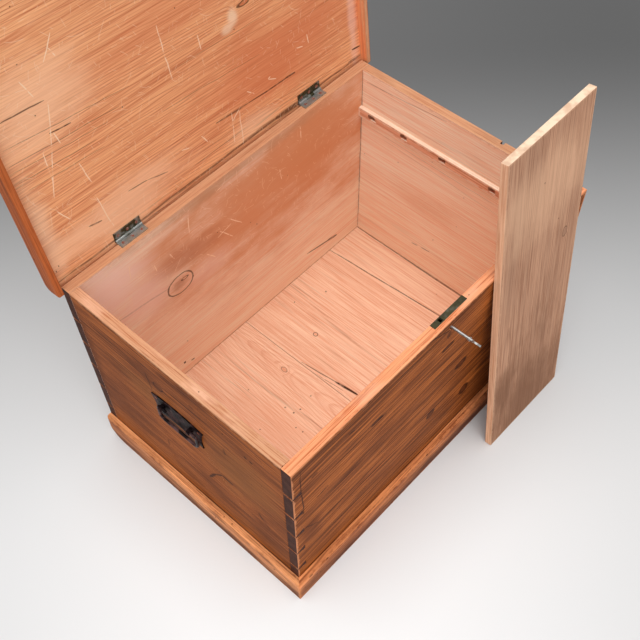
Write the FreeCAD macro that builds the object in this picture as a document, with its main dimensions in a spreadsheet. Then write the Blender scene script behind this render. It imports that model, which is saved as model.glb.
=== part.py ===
import FreeCAD, Part
import Sketcher
import math
import os
import re

# A pine carriage chest: a dovetailed case on a plinth with a hinged lid, a box lock with its key,
# two drop handles, cleats inside the ends and the loose board that rests on them.
# The origin is on the ground under the middle of the case, +X to the right end, +Y to the back.

Vector = FreeCAD.Vector
Rotation = FreeCAD.Rotation
Placement = FreeCAD.Placement

doc = FreeCAD.newDocument("carriage_chest")
sheet = doc.addObject("Spreadsheet::Sheet", "sizes")

# Driving dimensions, in millimetres and degrees. A share is a part of the size that it follows.
SIZES = {
    # Case
    "case_width": 820,
    "case_depth": 566,
    "rim_height": 509,
    "wall_thickness": 22,
    "floor_thickness": 24,
    "rim_wear": 1.5,
    "chip_width": 7,
    "chip_depth": 9,
    "chip_height": 8,
    "chip_place_share": -0.164,
    # Dovetails
    "pin_pitch": 77,
    "pin_tip_width": 5,
    "pin_root_width": 16,
    # Floor boards, with the places of their seams as shares of the width
    "floor_gap": 0.8,
    "middle_seam_share": -0.018,
    "right_seam_front_share": 0.391,
    "right_seam_back_share": 0.345,
    # Plinth
    "plinth_height": 71,
    "plinth_projection": 14,
    "plinth_round": 7,
    "plinth_end_round": 50,
    # Cleats inside the ends and their gouged screw recesses
    "cleat_height": 23,
    "cleat_projection": 9,
    "cleat_drop": 94,
    "gouge_length": 18,
    "gouge_width": 9,
    "gouge_depth": 3.5,
    # Lid
    "lid_open_angle": 96.5,
    "lid_thickness": 20,
    "lid_gap": 4.6,
    "lid_side_clearance": 3.8,
    "lid_back_overhang": 15.4,
    "moulding_thickness": 13.2,
    "moulding_drop": 17.8,
    "moulding_round": 5,
    "moulding_lip_round": 3,
    "moulding_end_round": 18,
    # Hinges
    "hinge_length": 63.5,
    "hinge_leaf_width": 18,
    "hinge_leaf_thickness": 2,
    "hinge_setback": 4.4,
    "barrel_radius": 3.6,
    "barrel_clearance": 0.5,
    "knuckle_gap": 0.4,
    "hinge_pin_radius": 1.5,
    "pin_clearance": 0.05,
    "hinge_left_share": -0.297,
    "hinge_right_share": 0.3073,
    "hinge_screw_inset": 8,
    # Box lock
    "lock_length": 89.6,
    "lock_place": 8.1,
    "lock_width": 12,
    "lock_height": 50,
    "lock_plate_thickness": 2.5,
    "lock_flange_thickness": 2,
    "lock_cap_margin": 7.5,
    "lock_cap_foot": 4,
    "lock_cap_wall": 1,
    "slot_length": 8,
    "slot_width": 8,
    "slot_offset": 23.6,
    "keyhole_offset": 10.1,
    "keyhole_drop": 17.5,
    "keyhole_radius": 3.4,
    "keyhole_slot_width": 3,
    "keyhole_slot_drop": 10,
    "drill_pin_radius": 1.4,
    "drill_pin_length": 12,
    # Lock bolt
    "bolt_thickness": 2.3,
    "bolt_running_gap": 0.3,
    "bolt_height": 6,
    "bolt_drop": 5.5,
    "bolt_length": 40,
    "bolt_tip_gap": 2.6,
    "bolt_finger_length": 12,
    "bolt_finger_lap": 6,
    "bolt_finger_thickness": 2.4,
    "bolt_finger_height": 3.8,
    # Link plate under the lid, with its staple
    "link_length": 52,
    "link_thickness": 4.2,
    "staple_thickness": 3,
    "staple_width": 7,
    "staple_reach": 13.4,
    "staple_eye_width": 3.6,
    "staple_eye_height": 5.2,
    # Key
    "key_turn": 33,
    "key_barrel_radius": 2.75,
    "key_bore_radius": 1.5,
    "key_bore_depth": 22,
    "key_reach": 39,
    "key_nose_gap": 1,
    "key_collar_radius": 4.2,
    "key_collar_length": 3,
    "key_neck_length": 4,
    "key_bit_radius": 7.5,
    "key_bit_setback": 2.4,
    "key_bit_width": 4.6,
    "key_bit_thickness": 2,
    "bow_width": 24,
    "bow_length": 18,
    "bow_thickness": 3.4,
    "bow_rim": 4,
    # Handles
    "handle_offset": 4,
    "handle_height": 368,
    "handle_plate_width": 136,
    "handle_tip_width": 124,
    "handle_waist_width": 120,
    "handle_plate_thickness": 2.5,
    "handle_corner_rise": 14,
    "handle_crown_rise": 22,
    "handle_tip_drop": 41,
    "handle_sag_drop": 33,
    "handle_waist_drop": 10,
    "ear_spacing": 74,
    "ear_width": 7,
    "ear_radius": 5.5,
    "ear_reach": 6,
    "bail_radius": 3.2,
    "bail_clearance": 0.08,
    "bail_drop": 37,
    "bail_spread": 101,
    "bail_slide": 5,
    "bail_end_spread": 60,
    "bail_top_bend": 5.5,
    "bail_low_bend": 11,
    "handle_screw_inset": 12,
    "handle_screw_side_inset": 11,
    # Loose board that rests on the cleats
    "shelf_thickness": 15.5,
    "shelf_width": 243.5,
    "shelf_clearance": 1,
    "shelf_round": 1,
    "shelf_foot_distance": 70,
    "shelf_rest_gap": 0.3,
    "shelf_place_share": 0.2909,
    # Screws and nails
    "screw_head_radius": 3.4,
    "screw_head_depth": 1.8,
    "screw_shank_radius": 1.6,
    "screw_length": 15,
    "screw_slot_width": 0.8,
    "screw_slot_depth": 0.8,
    "cleat_screw_length": 20,
    "nail_radius": 1.6,
    "nail_length": 45,
    "trim_nail_length": 26,
    # How far a cutting solid runs past what it cuts
    "overrun": 2,
}

for row, (alias, number) in enumerate(SIZES.items(), start=1):
    sheet.set("A%d" % row, alias.replace("_", " "))
    sheet.set("B%d" % row, str(number))
    sheet.setAlias("B%d" % row, alias)
doc.recompute()


def size(alias):
    """One value of the sheet."""
    return float(sheet.get(alias))


def formula(text):
    """Turns the sheet's names in a formula into references to its cells."""
    return re.sub(r"[a-z_]+",
                  lambda word: "sizes." + word.group() if word.group() in SIZES else word.group(), text)


# Formulas that several pieces share.
AXIS_Y = "(case_depth / 2 + hinge_setback)"
AXIS_Z = "(rim_height + lid_gap / 2)"
LID_UNDERSIDE = "(rim_height + lid_gap)"
LID_BACK = "(case_depth / 2 + lid_back_overhang)"
FRONT_INSIDE = "(wall_thickness - case_depth / 2)"
LOCK_LEFT = "(lock_place - lock_length / 2)"
KEY_X = "(lock_place - keyhole_offset)"
KEY_Z = "(rim_height - keyhole_drop)"
SLOT_X = "(lock_place - slot_offset)"


# Building blocks
def bind(item, **formulas):
    for name, text in formulas.items():
        item.setExpression(name, formula(text))


def place(item, corner, turn=None):
    """Puts an object at a point given as three formulas."""
    if turn is not None:
        item.Placement = Placement(Vector(), turn)
    for letter, text in zip("xyz", corner):
        item.setExpression("Placement.Base." + letter, formula(text))


def box(name, lengths, corner, turn=None):
    item = doc.addObject("Part::Box", name)
    bind(item, Length=lengths[0], Width=lengths[1], Height=lengths[2])
    place(item, corner, turn)
    return item


ALONG = {
    "x": Rotation(Vector(0, 1, 0), 90),
    "-x": Rotation(Vector(0, 1, 0), -90),
    "y": Rotation(Vector(1, 0, 0), -90),
    "-y": Rotation(Vector(1, 0, 0), 90),
    "z": Rotation(),
    "-z": Rotation(Vector(1, 0, 0), 180),
}


def cylinder(name, radius, length, start, along):
    item = doc.addObject("Part::Cylinder", name)
    bind(item, Radius=radius, Height=length)
    place(item, start, ALONG[along])
    return item


def wedge(name, low, high, corner=("0", "0", "0"), turn=None):
    """A block that tapers along its own Y. Each end is its y and its x and z ranges, as formulas."""
    item = doc.addObject("Part::Wedge", name)
    bind(item, Ymin=low[0], Xmin=low[1], Xmax=low[2], Zmin=low[3], Zmax=low[4])
    bind(item, Ymax=high[0], X2min=high[1], X2max=high[2], Z2min=high[3], Z2max=high[4])
    place(item, corner, turn)
    return item


def fuse(name, items):
    item = doc.addObject("Part::MultiFuse", name)
    item.Shapes = items
    return item


def cut(name, base, tools):
    """The base less its tools, which are gathered in one compound."""
    gathered = doc.addObject("Part::Compound", name + "_tools")
    gathered.Links = tools
    item = doc.addObject("Part::Cut", name)
    item.Base = base
    item.Tool = gathered
    return item


def edges_at(shape, **places):
    """Numbers of the edges whose ends all lie at the given coordinates."""
    tolerance = size("overrun") / 1000
    found = []
    for number, edge in enumerate(shape.Edges, start=1):
        if all(abs(getattr(end.Point, axis) - value) < tolerance
               for end in edge.Vertexes for axis, value in places.items()):
            found.append(number)
    return found


def rounded(name, base, rounds):
    """Rounds edges of a block. Each round is its radius and the coordinates of its edges."""
    doc.recompute()
    item = doc.addObject("Part::Fillet", name)
    item.Base = base
    item.Edges = [(number, radius, radius) for radius, places in rounds
                  for number in edges_at(base.Shape, **places)]
    return item


def group(name, form, placements):
    """Copies of one form as separate solids of one sub-part."""
    item = doc.addObject("Part::Feature", name)
    copies = []
    for spot in placements:
        copy = form.Shape.copy()
        copy.Placement = spot.multiply(copy.Placement)
        copies.append(copy)
    item.Shape = Part.makeCompound(copies)
    return item


def body_with_block(name, length, width, height):
    """A body with one rectangular sketch, centred, that is padded upwards."""
    body = doc.addObject("PartDesign::Body", name)
    plane = next(one for one in body.Origin.OriginFeatures if one.Role == "XY_Plane")
    sketch = body.newObject("Sketcher::SketchObject", name + "_outline")
    sketch.AttachmentSupport = (plane, "")
    sketch.MapMode = "FlatFace"
    half = size("case_width") / 2
    corners = [Vector(-half, -half), Vector(half, -half), Vector(half, half), Vector(-half, half)]
    for number in range(4):
        sketch.addGeometry(Part.LineSegment(corners[number], corners[(number + 1) % 4]))
    for number in range(4):
        sketch.addConstraint(Sketcher.Constraint("Coincident", number, 2, (number + 1) % 4, 1))
    for number, kind in enumerate(["Horizontal", "Vertical", "Horizontal", "Vertical"]):
        sketch.addConstraint(Sketcher.Constraint(kind, number))
    sketch.addConstraint(Sketcher.Constraint("Symmetric", 0, 1, 2, 1, -1, 1))
    for line, title, text in ((0, "length", length), (1, "width", width)):
        number = sketch.addConstraint(Sketcher.Constraint("Distance", line, 2 * half))
        sketch.renameConstraint(number, title)
        sketch.setExpression("Constraints." + title, formula(text))
    pad = body.newObject("PartDesign::Pad", name + "_pad")
    pad.Profile = sketch
    bind(pad, Length=height)
    body.Tip = pad
    doc.recompute()
    return body


def turned_block(name, inner, front, back, thickness, low, high, side):
    """A side piece with a mitre at its front: it lies outside the plane x = inner on one side."""
    if side < 0:
        return wedge(name, ("0", front, back, low, high),
                     (thickness, front + " - " + thickness, back, low, high),
                     ("-" + inner, "0", "0"), Rotation(Vector(0, 0, 1), 90))
    return wedge(name, ("0", "-" + back, "-" + front, low, high),
                 (thickness, "-" + back, thickness + " - " + front, low, high),
                 (inner, "0", "0"), Rotation(Vector(0, 0, 1), -90))


# Fasteners. A form points down from the origin, and a drive turns it to the way it is driven.
DRIVE = {
    "x": Rotation(Vector(0, 1, 0), -90),
    "-x": Rotation(Vector(0, 1, 0), 90),
    "y": Rotation(Vector(1, 0, 0), 90),
    "-y": Rotation(Vector(1, 0, 0), -90),
    "z": Rotation(Vector(1, 0, 0), 180),
    "-z": Rotation(),
}
SLOT_TURN_SHARE = 0.157


def screw_forms(name, length):
    """A countersunk screw as it fills its hole, and with the slot in its head."""
    head = doc.addObject("Part::Cone", name + "_head")
    bind(head, Radius1="screw_shank_radius", Radius2="screw_head_radius", Height="screw_head_depth")
    place(head, ("0", "0", "-screw_head_depth"))
    shank = cylinder(name + "_shank", "screw_shank_radius", length, ("0", "0", "0"), "-z")
    blank = fuse(name + "_blank", [head, shank])
    slot = box(name + "_slot", ("3 * screw_head_radius", "screw_slot_width", "2 * screw_slot_depth"),
               ("-1.5 * screw_head_radius", "-screw_slot_width / 2", "-screw_slot_depth"))
    return blank, cut(name + "_form", blank, [slot])


def nail_form(name, length):
    return cylinder(name, "nail_radius", length, ("0", "0", "0"), "-z")


def spot(point, way, number=0):
    """Where a fastener's head lies and which way it is driven, with its slot turned by chance."""
    turn = Rotation(Vector(0, 0, 1), 360 * SLOT_TURN_SHARE * number)
    return Placement(Vector(*point), DRIVE[way].multiply(turn))


short_blank, short_screw = screw_forms("short_screw", "screw_length")
long_blank, long_screw = screw_forms("long_screw", "cleat_screw_length")
long_nail = nail_form("long_nail", "nail_length")
trim_nail = nail_form("trim_nail", "trim_nail_length")
doc.recompute()

half_width = size("case_width") / 2
half_depth = size("case_depth") / 2
wall = size("wall_thickness")
rim = size("rim_height")
axis_y = half_depth + size("hinge_setback")
axis_z = rim + size("lid_gap") / 2

# Hinge screws: three along each leaf.
HINGE_SCREW_SHARES = (-0.35, 0, 0.35)
hinge_centres = [2 * half_width * size("hinge_left_share"), 2 * half_width * size("hinge_right_share")]
hinge_screw_x = [centre + size("hinge_length") * share
                 for centre in hinge_centres for share in HINGE_SCREW_SHARES]
hinge_screw_y = axis_y - size("hinge_leaf_width") + size("hinge_screw_inset")
case_leaf_top = rim + size("hinge_leaf_thickness")
lid_leaf_bottom = rim + size("lid_gap") - size("hinge_leaf_thickness")
case_spots = [spot((x, hinge_screw_y, case_leaf_top), "-z", number)
              for number, x in enumerate(hinge_screw_x)]
lid_spots = [spot((x, hinge_screw_y, lid_leaf_bottom), "z", number + 2)
             for number, x in enumerate(hinge_screw_x)]
hinge_case_screws = group("hinge_case_screws", short_screw, case_spots)
hinge_case_holes = group("hinge_case_holes", short_blank, case_spots)
hinge_lid_screws = group("hinge_lid_screws_shut", short_screw, lid_spots)
hinge_lid_holes = group("hinge_lid_holes", short_blank, lid_spots)

# Cleat screws, at the bottoms of their gouged recesses.
CLEAT_SCREW_SHARES = (0.08, 0.303, 0.555, 0.753, 0.92)
cleat_y = [wall - half_depth + share * 2 * (half_depth - wall) for share in CLEAT_SCREW_SHARES]
cleat_z = rim - size("cleat_drop") - size("cleat_height") / 2
cleat_face = half_width - wall - size("cleat_projection")
head_x = cleat_face + size("gouge_depth") - size("screw_head_depth") / 2
cleat_spots = [spot((side * head_x, y, cleat_z), way, number)
               for side, way in ((-1, "-x"), (1, "x")) for number, y in enumerate(cleat_y)]
cleat_screws = group("cleat_screws", long_screw, cleat_spots)
cleat_holes = group("cleat_holes", long_blank, cleat_spots)

# Lock screws in the flange on the inside of the front.
lock_left = size("lock_place") - size("lock_length") / 2
lock_screw_inset = size("lock_cap_margin") / 2
lock_screw_x = (lock_left + lock_screw_inset, lock_left + size("lock_length") - lock_screw_inset)
lock_screw_z = (rim - 2 * size("lock_cap_margin"),
                rim - size("lock_height") + lock_screw_inset + size("overrun"))
lock_spots = [spot((x, wall - half_depth, z), "-y", number)
              for number, x in enumerate(lock_screw_x) for z in lock_screw_z]
lock_screws = group("lock_screws", short_screw, lock_spots)
lock_holes = group("lock_holes", short_blank, lock_spots)

# Link plate screws under the lid.
LINK_SCREW_SHARES = (-0.36, 0.36)
link_y = wall - half_depth - size("lock_width") / 2
link_x = size("lock_place") - size("slot_offset")
link_bottom = rim + size("lid_gap") - size("link_thickness")
link_spots = [spot((link_x + share * size("link_length"), link_y, link_bottom), "z", number)
              for number, share in enumerate(LINK_SCREW_SHARES)]
link_plate_screws = group("link_plate_screws_shut", short_screw, link_spots)
link_holes = group("link_holes", short_blank, link_spots)

# Handle screws: four to a plate.
handle_top_u = size("handle_plate_width") / 2 - size("handle_screw_inset")
handle_low_u = size("handle_tip_width") / 2 - size("handle_screw_inset")
handle_top_v = size("handle_height") + size("handle_corner_rise") - size("handle_screw_side_inset") / 2
handle_low_v = size("handle_height") - size("handle_tip_drop") + size("handle_screw_side_inset")
handle_points = [(sign * u, v) for u, v in ((handle_top_u, handle_top_v), (handle_low_u, handle_low_v))
                 for sign in (-1, 1)]
handle_face = half_width + size("handle_plate_thickness")
handle_spots = [spot((side * handle_face, size("handle_offset") + u, v), way, number)
                for side, way in ((-1, "x"), (1, "-x")) for number, (u, v) in enumerate(handle_points)]
handle_screws = group("handle_screws", short_screw, handle_spots)
handle_holes = group("handle_holes", short_blank, handle_spots)

# Nails: up through the floor into the walls, through the plinth and through the lid's moulding.
FLOOR_NAIL_SHARES = (-0.44, -0.26, -0.09, 0.09, 0.26, 0.44)
END_NAIL_SHARES = (-0.25, 0, 0.25)
PLINTH_NAIL_SHARES = (-0.455, -0.22, 0.02, 0.2, 0.46)
SIDE_NAIL_SHARES = (-0.4, -0.1, 0.38)
PLINTH_NAIL_HEIGHT_SHARE = 0.6
wall_middle = wall / 2
floor_spots = [spot((2 * half_width * share, side * (half_depth - wall_middle), 0), "z")
               for side in (-1, 1) for share in FLOOR_NAIL_SHARES]
floor_spots += [spot((side * (half_width - wall_middle), 2 * half_depth * share, 0), "z")
                for side in (-1, 1) for share in END_NAIL_SHARES]
floor_nails = group("floor_nails", long_nail, floor_spots)


def trim_spots(out_x, out_y, z):
    """Nails into three sides of the case or lid, from the outer faces of a trim."""
    spots = [spot((2 * half_width * share, -out_y, z), "y") for share in PLINTH_NAIL_SHARES]
    for side, way in ((-1, "x"), (1, "-x")):
        spots += [spot((side * out_x, 2 * half_depth * share, z), way) for share in SIDE_NAIL_SHARES]
    return spots


plinth_out = size("plinth_projection")
plinth_nails = group("plinth_nails", trim_nail, trim_spots(
    half_width + plinth_out, half_depth + plinth_out, size("plinth_height") * PLINTH_NAIL_HEIGHT_SHARE))
lid_out = size("lid_side_clearance") + size("moulding_thickness")
lid_moulding_nails = group("lid_moulding_nails_shut", trim_nail, trim_spots(
    half_width + lid_out, half_depth + lid_out, rim + size("lid_gap") + size("lid_thickness") / 2))

# Dovetail pins: narrow at the corner, wide at the root, through the thickness of the front or back.
PIN_COUNT = 5
PIN_CORNERS = {
    "front_left": (-1, "-case_depth / 2"),
    "back_left": (-1, "case_depth / 2 - wall_thickness"),
    "front_right": (1, "wall_thickness - case_depth / 2"),
    "back_right": (1, "case_depth / 2"),
}


def pins(corner):
    side, base_y = PIN_CORNERS[corner]
    made = []
    for number in range(PIN_COUNT):
        height = "(rim_height + floor_thickness) / 2 + %g * pin_pitch" % (number - (PIN_COUNT - 1) / 2)
        base_x = "%d * (case_width / 2 - wall_thickness)" % side
        made.append(wedge(
            "pin_%s_%d" % (corner, number),
            ("0", "0", "wall_thickness", "-pin_root_width / 2", "pin_root_width / 2"),
            ("wall_thickness", "0", "wall_thickness", "-pin_tip_width / 2", "pin_tip_width / 2"),
            (base_x, base_y, height), Rotation(Vector(0, 0, 1), -90 * side)))
    return made


all_pins = {corner: pins(corner) for corner in PIN_CORNERS}

# Ends
end_lengths = ("wall_thickness", "case_depth - 2 * wall_thickness", "rim_height - floor_thickness")
ends = {}
for side, label, corner_x in ((-1, "left", "-case_width / 2"),
                              (1, "right", "case_width / 2 - wall_thickness")):
    blank = box(label + "_end_blank", end_lengths, (corner_x, FRONT_INSIDE, "floor_thickness"))
    worn = rounded(label + "_end_worn", blank, [(size("rim_wear"), {"x": side * half_width, "z": rim})])
    joined = fuse(label + "_end_pinned", [worn] + all_pins["front_" + label] + all_pins["back_" + label])
    tools = [cleat_holes, handle_holes, plinth_nails, floor_nails]
    if side > 0:
        tools.append(box("chip", ("chip_depth + overrun", "chip_width", "chip_height + overrun"),
                         ("case_width / 2 - chip_depth", "chip_place_share * case_depth",
                          "rim_height - chip_height")))
    ends[label] = cut(label + "_end", joined, tools)

# Keyhole, through the front and the lock's cap.
keyhole_round = cylinder("keyhole_round", "keyhole_radius", "wall_thickness + overrun",
                         (KEY_X, "-case_depth / 2 - overrun", KEY_Z), "y")
keyhole_slot = box("keyhole_slot", ("keyhole_slot_width", "wall_thickness + overrun", "keyhole_slot_drop"),
                   (KEY_X + " - keyhole_slot_width / 2", "-case_depth / 2 - overrun",
                    KEY_Z + " - keyhole_slot_drop"))
front_keyhole_stop = box("front_keyhole_stop",
                         ("lock_length", "wall_thickness", "lock_height"),
                         (LOCK_LEFT, FRONT_INSIDE + " - lock_width + lock_cap_wall",
                          "rim_height - lock_height - overrun"))
keyhole = cut("keyhole", fuse("keyhole_whole", [keyhole_round, keyhole_slot]), [front_keyhole_stop])

# Lock: an L-shaped plate let into the front's edge and inner face, with the works in a cap behind it.
lock_top = box("lock_top", ("lock_length", "lock_width", "lock_plate_thickness"),
               (LOCK_LEFT, FRONT_INSIDE + " - lock_width", "rim_height - lock_plate_thickness"))
lock_flange = box("lock_flange", ("lock_length", "lock_flange_thickness", "lock_height"),
                  (LOCK_LEFT, FRONT_INSIDE + " - lock_flange_thickness", "rim_height - lock_height"))
lock_slot = box("lock_slot", ("slot_length", "slot_width", "2 * lock_plate_thickness + overrun"),
                (SLOT_X + " - slot_length / 2", FRONT_INSIDE + " - lock_flange_thickness - slot_width",
                 "rim_height - 2 * lock_plate_thickness"))
lock_plate = cut("lock_plate", fuse("lock_plate_blank", [lock_top, lock_flange]), [lock_slot, lock_holes])
lock_cap_lengths = ("lock_length - 2 * lock_cap_margin", "lock_width - lock_flange_thickness",
                    "lock_height - lock_plate_thickness - lock_cap_foot")
lock_cap_corner = (LOCK_LEFT + " + lock_cap_margin", FRONT_INSIDE + " - lock_width",
                   "rim_height - lock_height + lock_cap_foot")
lock_cap_outer = box("lock_cap_outer", lock_cap_lengths, lock_cap_corner)
lock_cap_inner = box("lock_cap_inner",
                     (lock_cap_lengths[0] + " - 2 * lock_cap_wall", lock_cap_lengths[1],
                      lock_cap_lengths[2] + " - 2 * lock_cap_wall"),
                     tuple(text + " + lock_cap_wall" for text in lock_cap_corner))
lock_cap = cut("lock_cap", lock_cap_outer, [lock_cap_inner, lock_slot, keyhole])
lock_drill_pin = cylinder("lock_drill_pin", "drill_pin_radius", "drill_pin_length",
                          (KEY_X, FRONT_INSIDE + " - lock_flange_thickness", KEY_Z), "-y")

# Front and back
long_lengths = ("case_width", "wall_thickness", "rim_height - floor_thickness")
front_blank = box("front_blank", long_lengths, ("-case_width / 2", "-case_depth / 2", "floor_thickness"))
front_worn = rounded("front_worn", front_blank, [(size("rim_wear"), {"y": -half_depth, "z": rim})])
front_board = cut("front_board", front_worn,
                  all_pins["front_left"] + all_pins["front_right"]
                  + [lock_top, lock_flange, lock_cap_outer, keyhole, lock_holes, plinth_nails, floor_nails])
back_blank = box("back_blank", long_lengths,
                 ("-case_width / 2", "case_depth / 2 - wall_thickness", "floor_thickness"))
back_board = cut("back_board", back_blank,
                 all_pins["back_left"] + all_pins["back_right"] + [hinge_case_holes, floor_nails])

# Floor boards, laid front to back with seams that may run askew.
FLOOR_BOARDS = {
    "floor_board_left": ("-case_width / 2", "-case_width / 2",
                         "middle_seam_share * case_width - floor_gap / 2",
                         "middle_seam_share * case_width - floor_gap / 2"),
    "floor_board_middle": ("middle_seam_share * case_width + floor_gap / 2",
                           "middle_seam_share * case_width + floor_gap / 2",
                           "right_seam_front_share * case_width - floor_gap / 2",
                           "right_seam_back_share * case_width - floor_gap / 2"),
    "floor_board_right": ("right_seam_front_share * case_width + floor_gap / 2",
                          "right_seam_back_share * case_width + floor_gap / 2",
                          "case_width / 2", "case_width / 2"),
}
floor_boards = []
for name, (front_low, back_low, front_high, back_high) in FLOOR_BOARDS.items():
    blank = wedge(name + "_blank",
                  ("-case_depth / 2", front_low, front_high, "0", "floor_thickness"),
                  ("case_depth / 2", back_low, back_high, "0", "floor_thickness"))
    floor_boards.append(cut(name, blank, [floor_nails]))

# Plinth and lid moulding: three pieces each, mitred at the front, rounded along the outer arrises.


def trim(name, inner_x, inner_y, back, thickness, low, high, rounds, end_round, nails):
    """The three pieces of a trim. Rounds are (radius, height): of outer arrises, and across back ends."""
    pieces = {}
    front = wedge(name + "_front_blank",
                  ("-%s - %s" % (inner_y, thickness), "-%s - %s" % (inner_x, thickness),
                   "%s + %s" % (inner_x, thickness), low, high),
                  ("-" + inner_y, "-" + inner_x, inner_x, low, high))
    sides = {side: turned_block(name + "_%s_blank" % label, inner_x, "-" + inner_y, back, thickness,
                                low, high, side)
             for side, label in ((-1, "left"), (1, "right"))}
    doc.recompute()
    outer_y = front.Shape.BoundBox.YMin
    front_round = rounded(name + "_front_round", front,
                          [(radius, {"y": outer_y, "z": z}) for radius, z in rounds])
    pieces["front"] = cut(name + "_front", front_round, [nails])
    for side, label in ((-1, "left"), (1, "right")):
        bounds = sides[side].Shape.BoundBox
        outer_x = bounds.XMin if side < 0 else bounds.XMax
        arrises = [(radius, {"x": outer_x, "z": z}) for radius, z in rounds]
        arrises.append((rounds[0][0], {"x": outer_x, "y": bounds.YMax}))
        arrises.append((end_round[0], {"y": bounds.YMax, "z": end_round[1]}))
        side_round = rounded(name + "_%s_round" % label, sides[side], arrises)
        pieces[label] = cut("%s_%s" % (name, label), side_round, [nails])
    return pieces


plinth = trim("plinth", "case_width / 2", "case_depth / 2", "case_depth / 2", "plinth_projection",
              "0", "plinth_height", [(size("plinth_round"), size("plinth_height"))],
              (size("plinth_end_round"), 0), plinth_nails)
lid_low = rim + size("lid_gap") - size("moulding_drop")
lid_high = rim + size("lid_gap") + size("lid_thickness")
moulding = trim("lid_moulding", "(case_width / 2 + lid_side_clearance)",
                "(case_depth / 2 + lid_side_clearance)",
                LID_BACK, "moulding_thickness", LID_UNDERSIDE + " - moulding_drop",
                LID_UNDERSIDE + " + lid_thickness",
                [(size("moulding_round"), lid_high), (size("moulding_lip_round"), lid_low)],
                (size("moulding_end_round"), lid_high), lid_moulding_nails)

# Cleats, with a gouged recess at each screw.
GOUGE_RADIUS = "(gouge_length ^ 2 / 4 + gouge_depth ^ 2) / (2 * gouge_depth)"
cleats = {}
for side, label, corner_x in ((-1, "left", "wall_thickness - case_width / 2"),
                              (1, "right", "case_width / 2 - wall_thickness - cleat_projection")):
    blank = box("cleat_%s_blank" % label,
                ("cleat_projection", "case_depth - 2 * wall_thickness", "cleat_height"),
                (corner_x, FRONT_INSIDE, "rim_height - cleat_drop - cleat_height"))
    gouges = []
    for number, share in enumerate(CLEAT_SCREW_SHARES):
        gouges.append(cylinder(
            "gouge_%s_%d" % (label, number), GOUGE_RADIUS, "gouge_width",
            ("%d * (case_width / 2 - wall_thickness - cleat_projection + gouge_depth - %s)"
             % (side, GOUGE_RADIUS),
             FRONT_INSIDE + " + %g * (case_depth - 2 * wall_thickness)" % share,
             "rim_height - cleat_drop - (cleat_height + gouge_width) / 2"), "z"))
    cleats[label] = cut("cleat_" + label, blank, gouges + [cleat_holes])

# Lid board, with a hollow for each hinge's barrel.
lid_blank = box("lid_blank",
                ("case_width + 2 * lid_side_clearance",
                 LID_BACK + " + case_depth / 2 + lid_side_clearance", "lid_thickness"),
                ("-case_width / 2 - lid_side_clearance", "-case_depth / 2 - lid_side_clearance",
                 LID_UNDERSIDE))
hollows = [cylinder("barrel_hollow_" + label, "barrel_radius + barrel_clearance",
                    "hinge_length + 2 * knuckle_gap",
                    (share + " * case_width - hinge_length / 2 - knuckle_gap", AXIS_Y, AXIS_Z), "x")
           for label, share in (("left", "hinge_left_share"), ("right", "hinge_right_share"))]
lid_board = cut("lid_board", lid_blank, hollows + [hinge_lid_holes, link_holes, lid_moulding_nails])


# Hinges: a leaf on the back's edge, a leaf under the lid, and a pin through their three knuckles.
def hinge(label, share):
    start = share + " * case_width - hinge_length / 2"
    third = "hinge_length / 3"

    def barrel(name, radius, low, high):
        return cylinder("hinge_%s_%s" % (label, name), radius, "%s - (%s)" % (high, low),
                        ("%s + %s" % (start, low), AXIS_Y, AXIS_Z), "x")

    wide = "barrel_radius + barrel_clearance"
    outer = [barrel("knuckle_low", "barrel_radius", "0", third + " - knuckle_gap / 2"),
             barrel("knuckle_high", "barrel_radius", "2 * %s + knuckle_gap / 2" % third, "hinge_length")]
    middle = barrel("knuckle_middle", "barrel_radius", third + " + knuckle_gap / 2",
                    "2 * %s - knuckle_gap / 2" % third)
    outer_relief = [barrel("relief_low", wide, "-overrun", third + " + knuckle_gap / 2"),
                    barrel("relief_high", wide, "2 * %s - knuckle_gap / 2" % third,
                           "hinge_length + overrun")]
    middle_relief = barrel("relief_middle", wide, third + " - knuckle_gap / 2",
                           "2 * %s + knuckle_gap / 2" % third)
    tight_bore = barrel("tight_bore", "hinge_pin_radius", "-overrun", "hinge_length + overrun")
    running_bore = barrel("running_bore", "hinge_pin_radius + pin_clearance", "-overrun",
                          "hinge_length + overrun")

    def leaf(kind, z, relief, knuckles, bore, holes):
        name = "hinge_%s_%s_leaf" % (label, kind)
        flat = box(name + "_flat", ("hinge_length", "hinge_leaf_width", "hinge_leaf_thickness"),
                   (start, AXIS_Y + " - hinge_leaf_width", z))
        joined = fuse(name + "_joined", [cut(name + "_relieved", flat, relief)] + knuckles)
        return cut(name, joined, [bore, holes])

    case_leaf = leaf("case", "rim_height", [middle_relief], outer, tight_bore, hinge_case_holes)
    lid_leaf = leaf("lid", LID_UNDERSIDE + " - hinge_leaf_thickness", outer_relief, [middle],
                    running_bore, hinge_lid_holes)
    pin = barrel("pin", "hinge_pin_radius", "0", "hinge_length")
    return case_leaf, lid_leaf, pin


left_case_leaf, left_lid_leaf, left_pin = hinge("left", "hinge_left_share")
right_case_leaf, right_lid_leaf, right_pin = hinge("right", "hinge_right_share")

# Lock bolt: a plate that slides over the flange, with a finger that passes through the staple's eye.
BOLT_Y = FRONT_INSIDE + " - lock_flange_thickness - bolt_running_gap - bolt_thickness"
BOLT_TIP = SLOT_X + " + slot_length / 2 + bolt_tip_gap"
bolt_plate = box("bolt_plate", ("bolt_length", "bolt_thickness", "bolt_height"),
                 (BOLT_TIP + " + bolt_finger_length - bolt_finger_lap", BOLT_Y,
                  "rim_height - bolt_drop - bolt_height"))
bolt_finger = box("bolt_finger", ("bolt_finger_length", "bolt_finger_thickness", "bolt_finger_height"),
                  (BOLT_TIP, BOLT_Y + " - bolt_finger_thickness",
                   "rim_height - bolt_drop - bolt_finger_height"))
lock_bolt = fuse("lock_bolt", [bolt_plate, bolt_finger])

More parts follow.
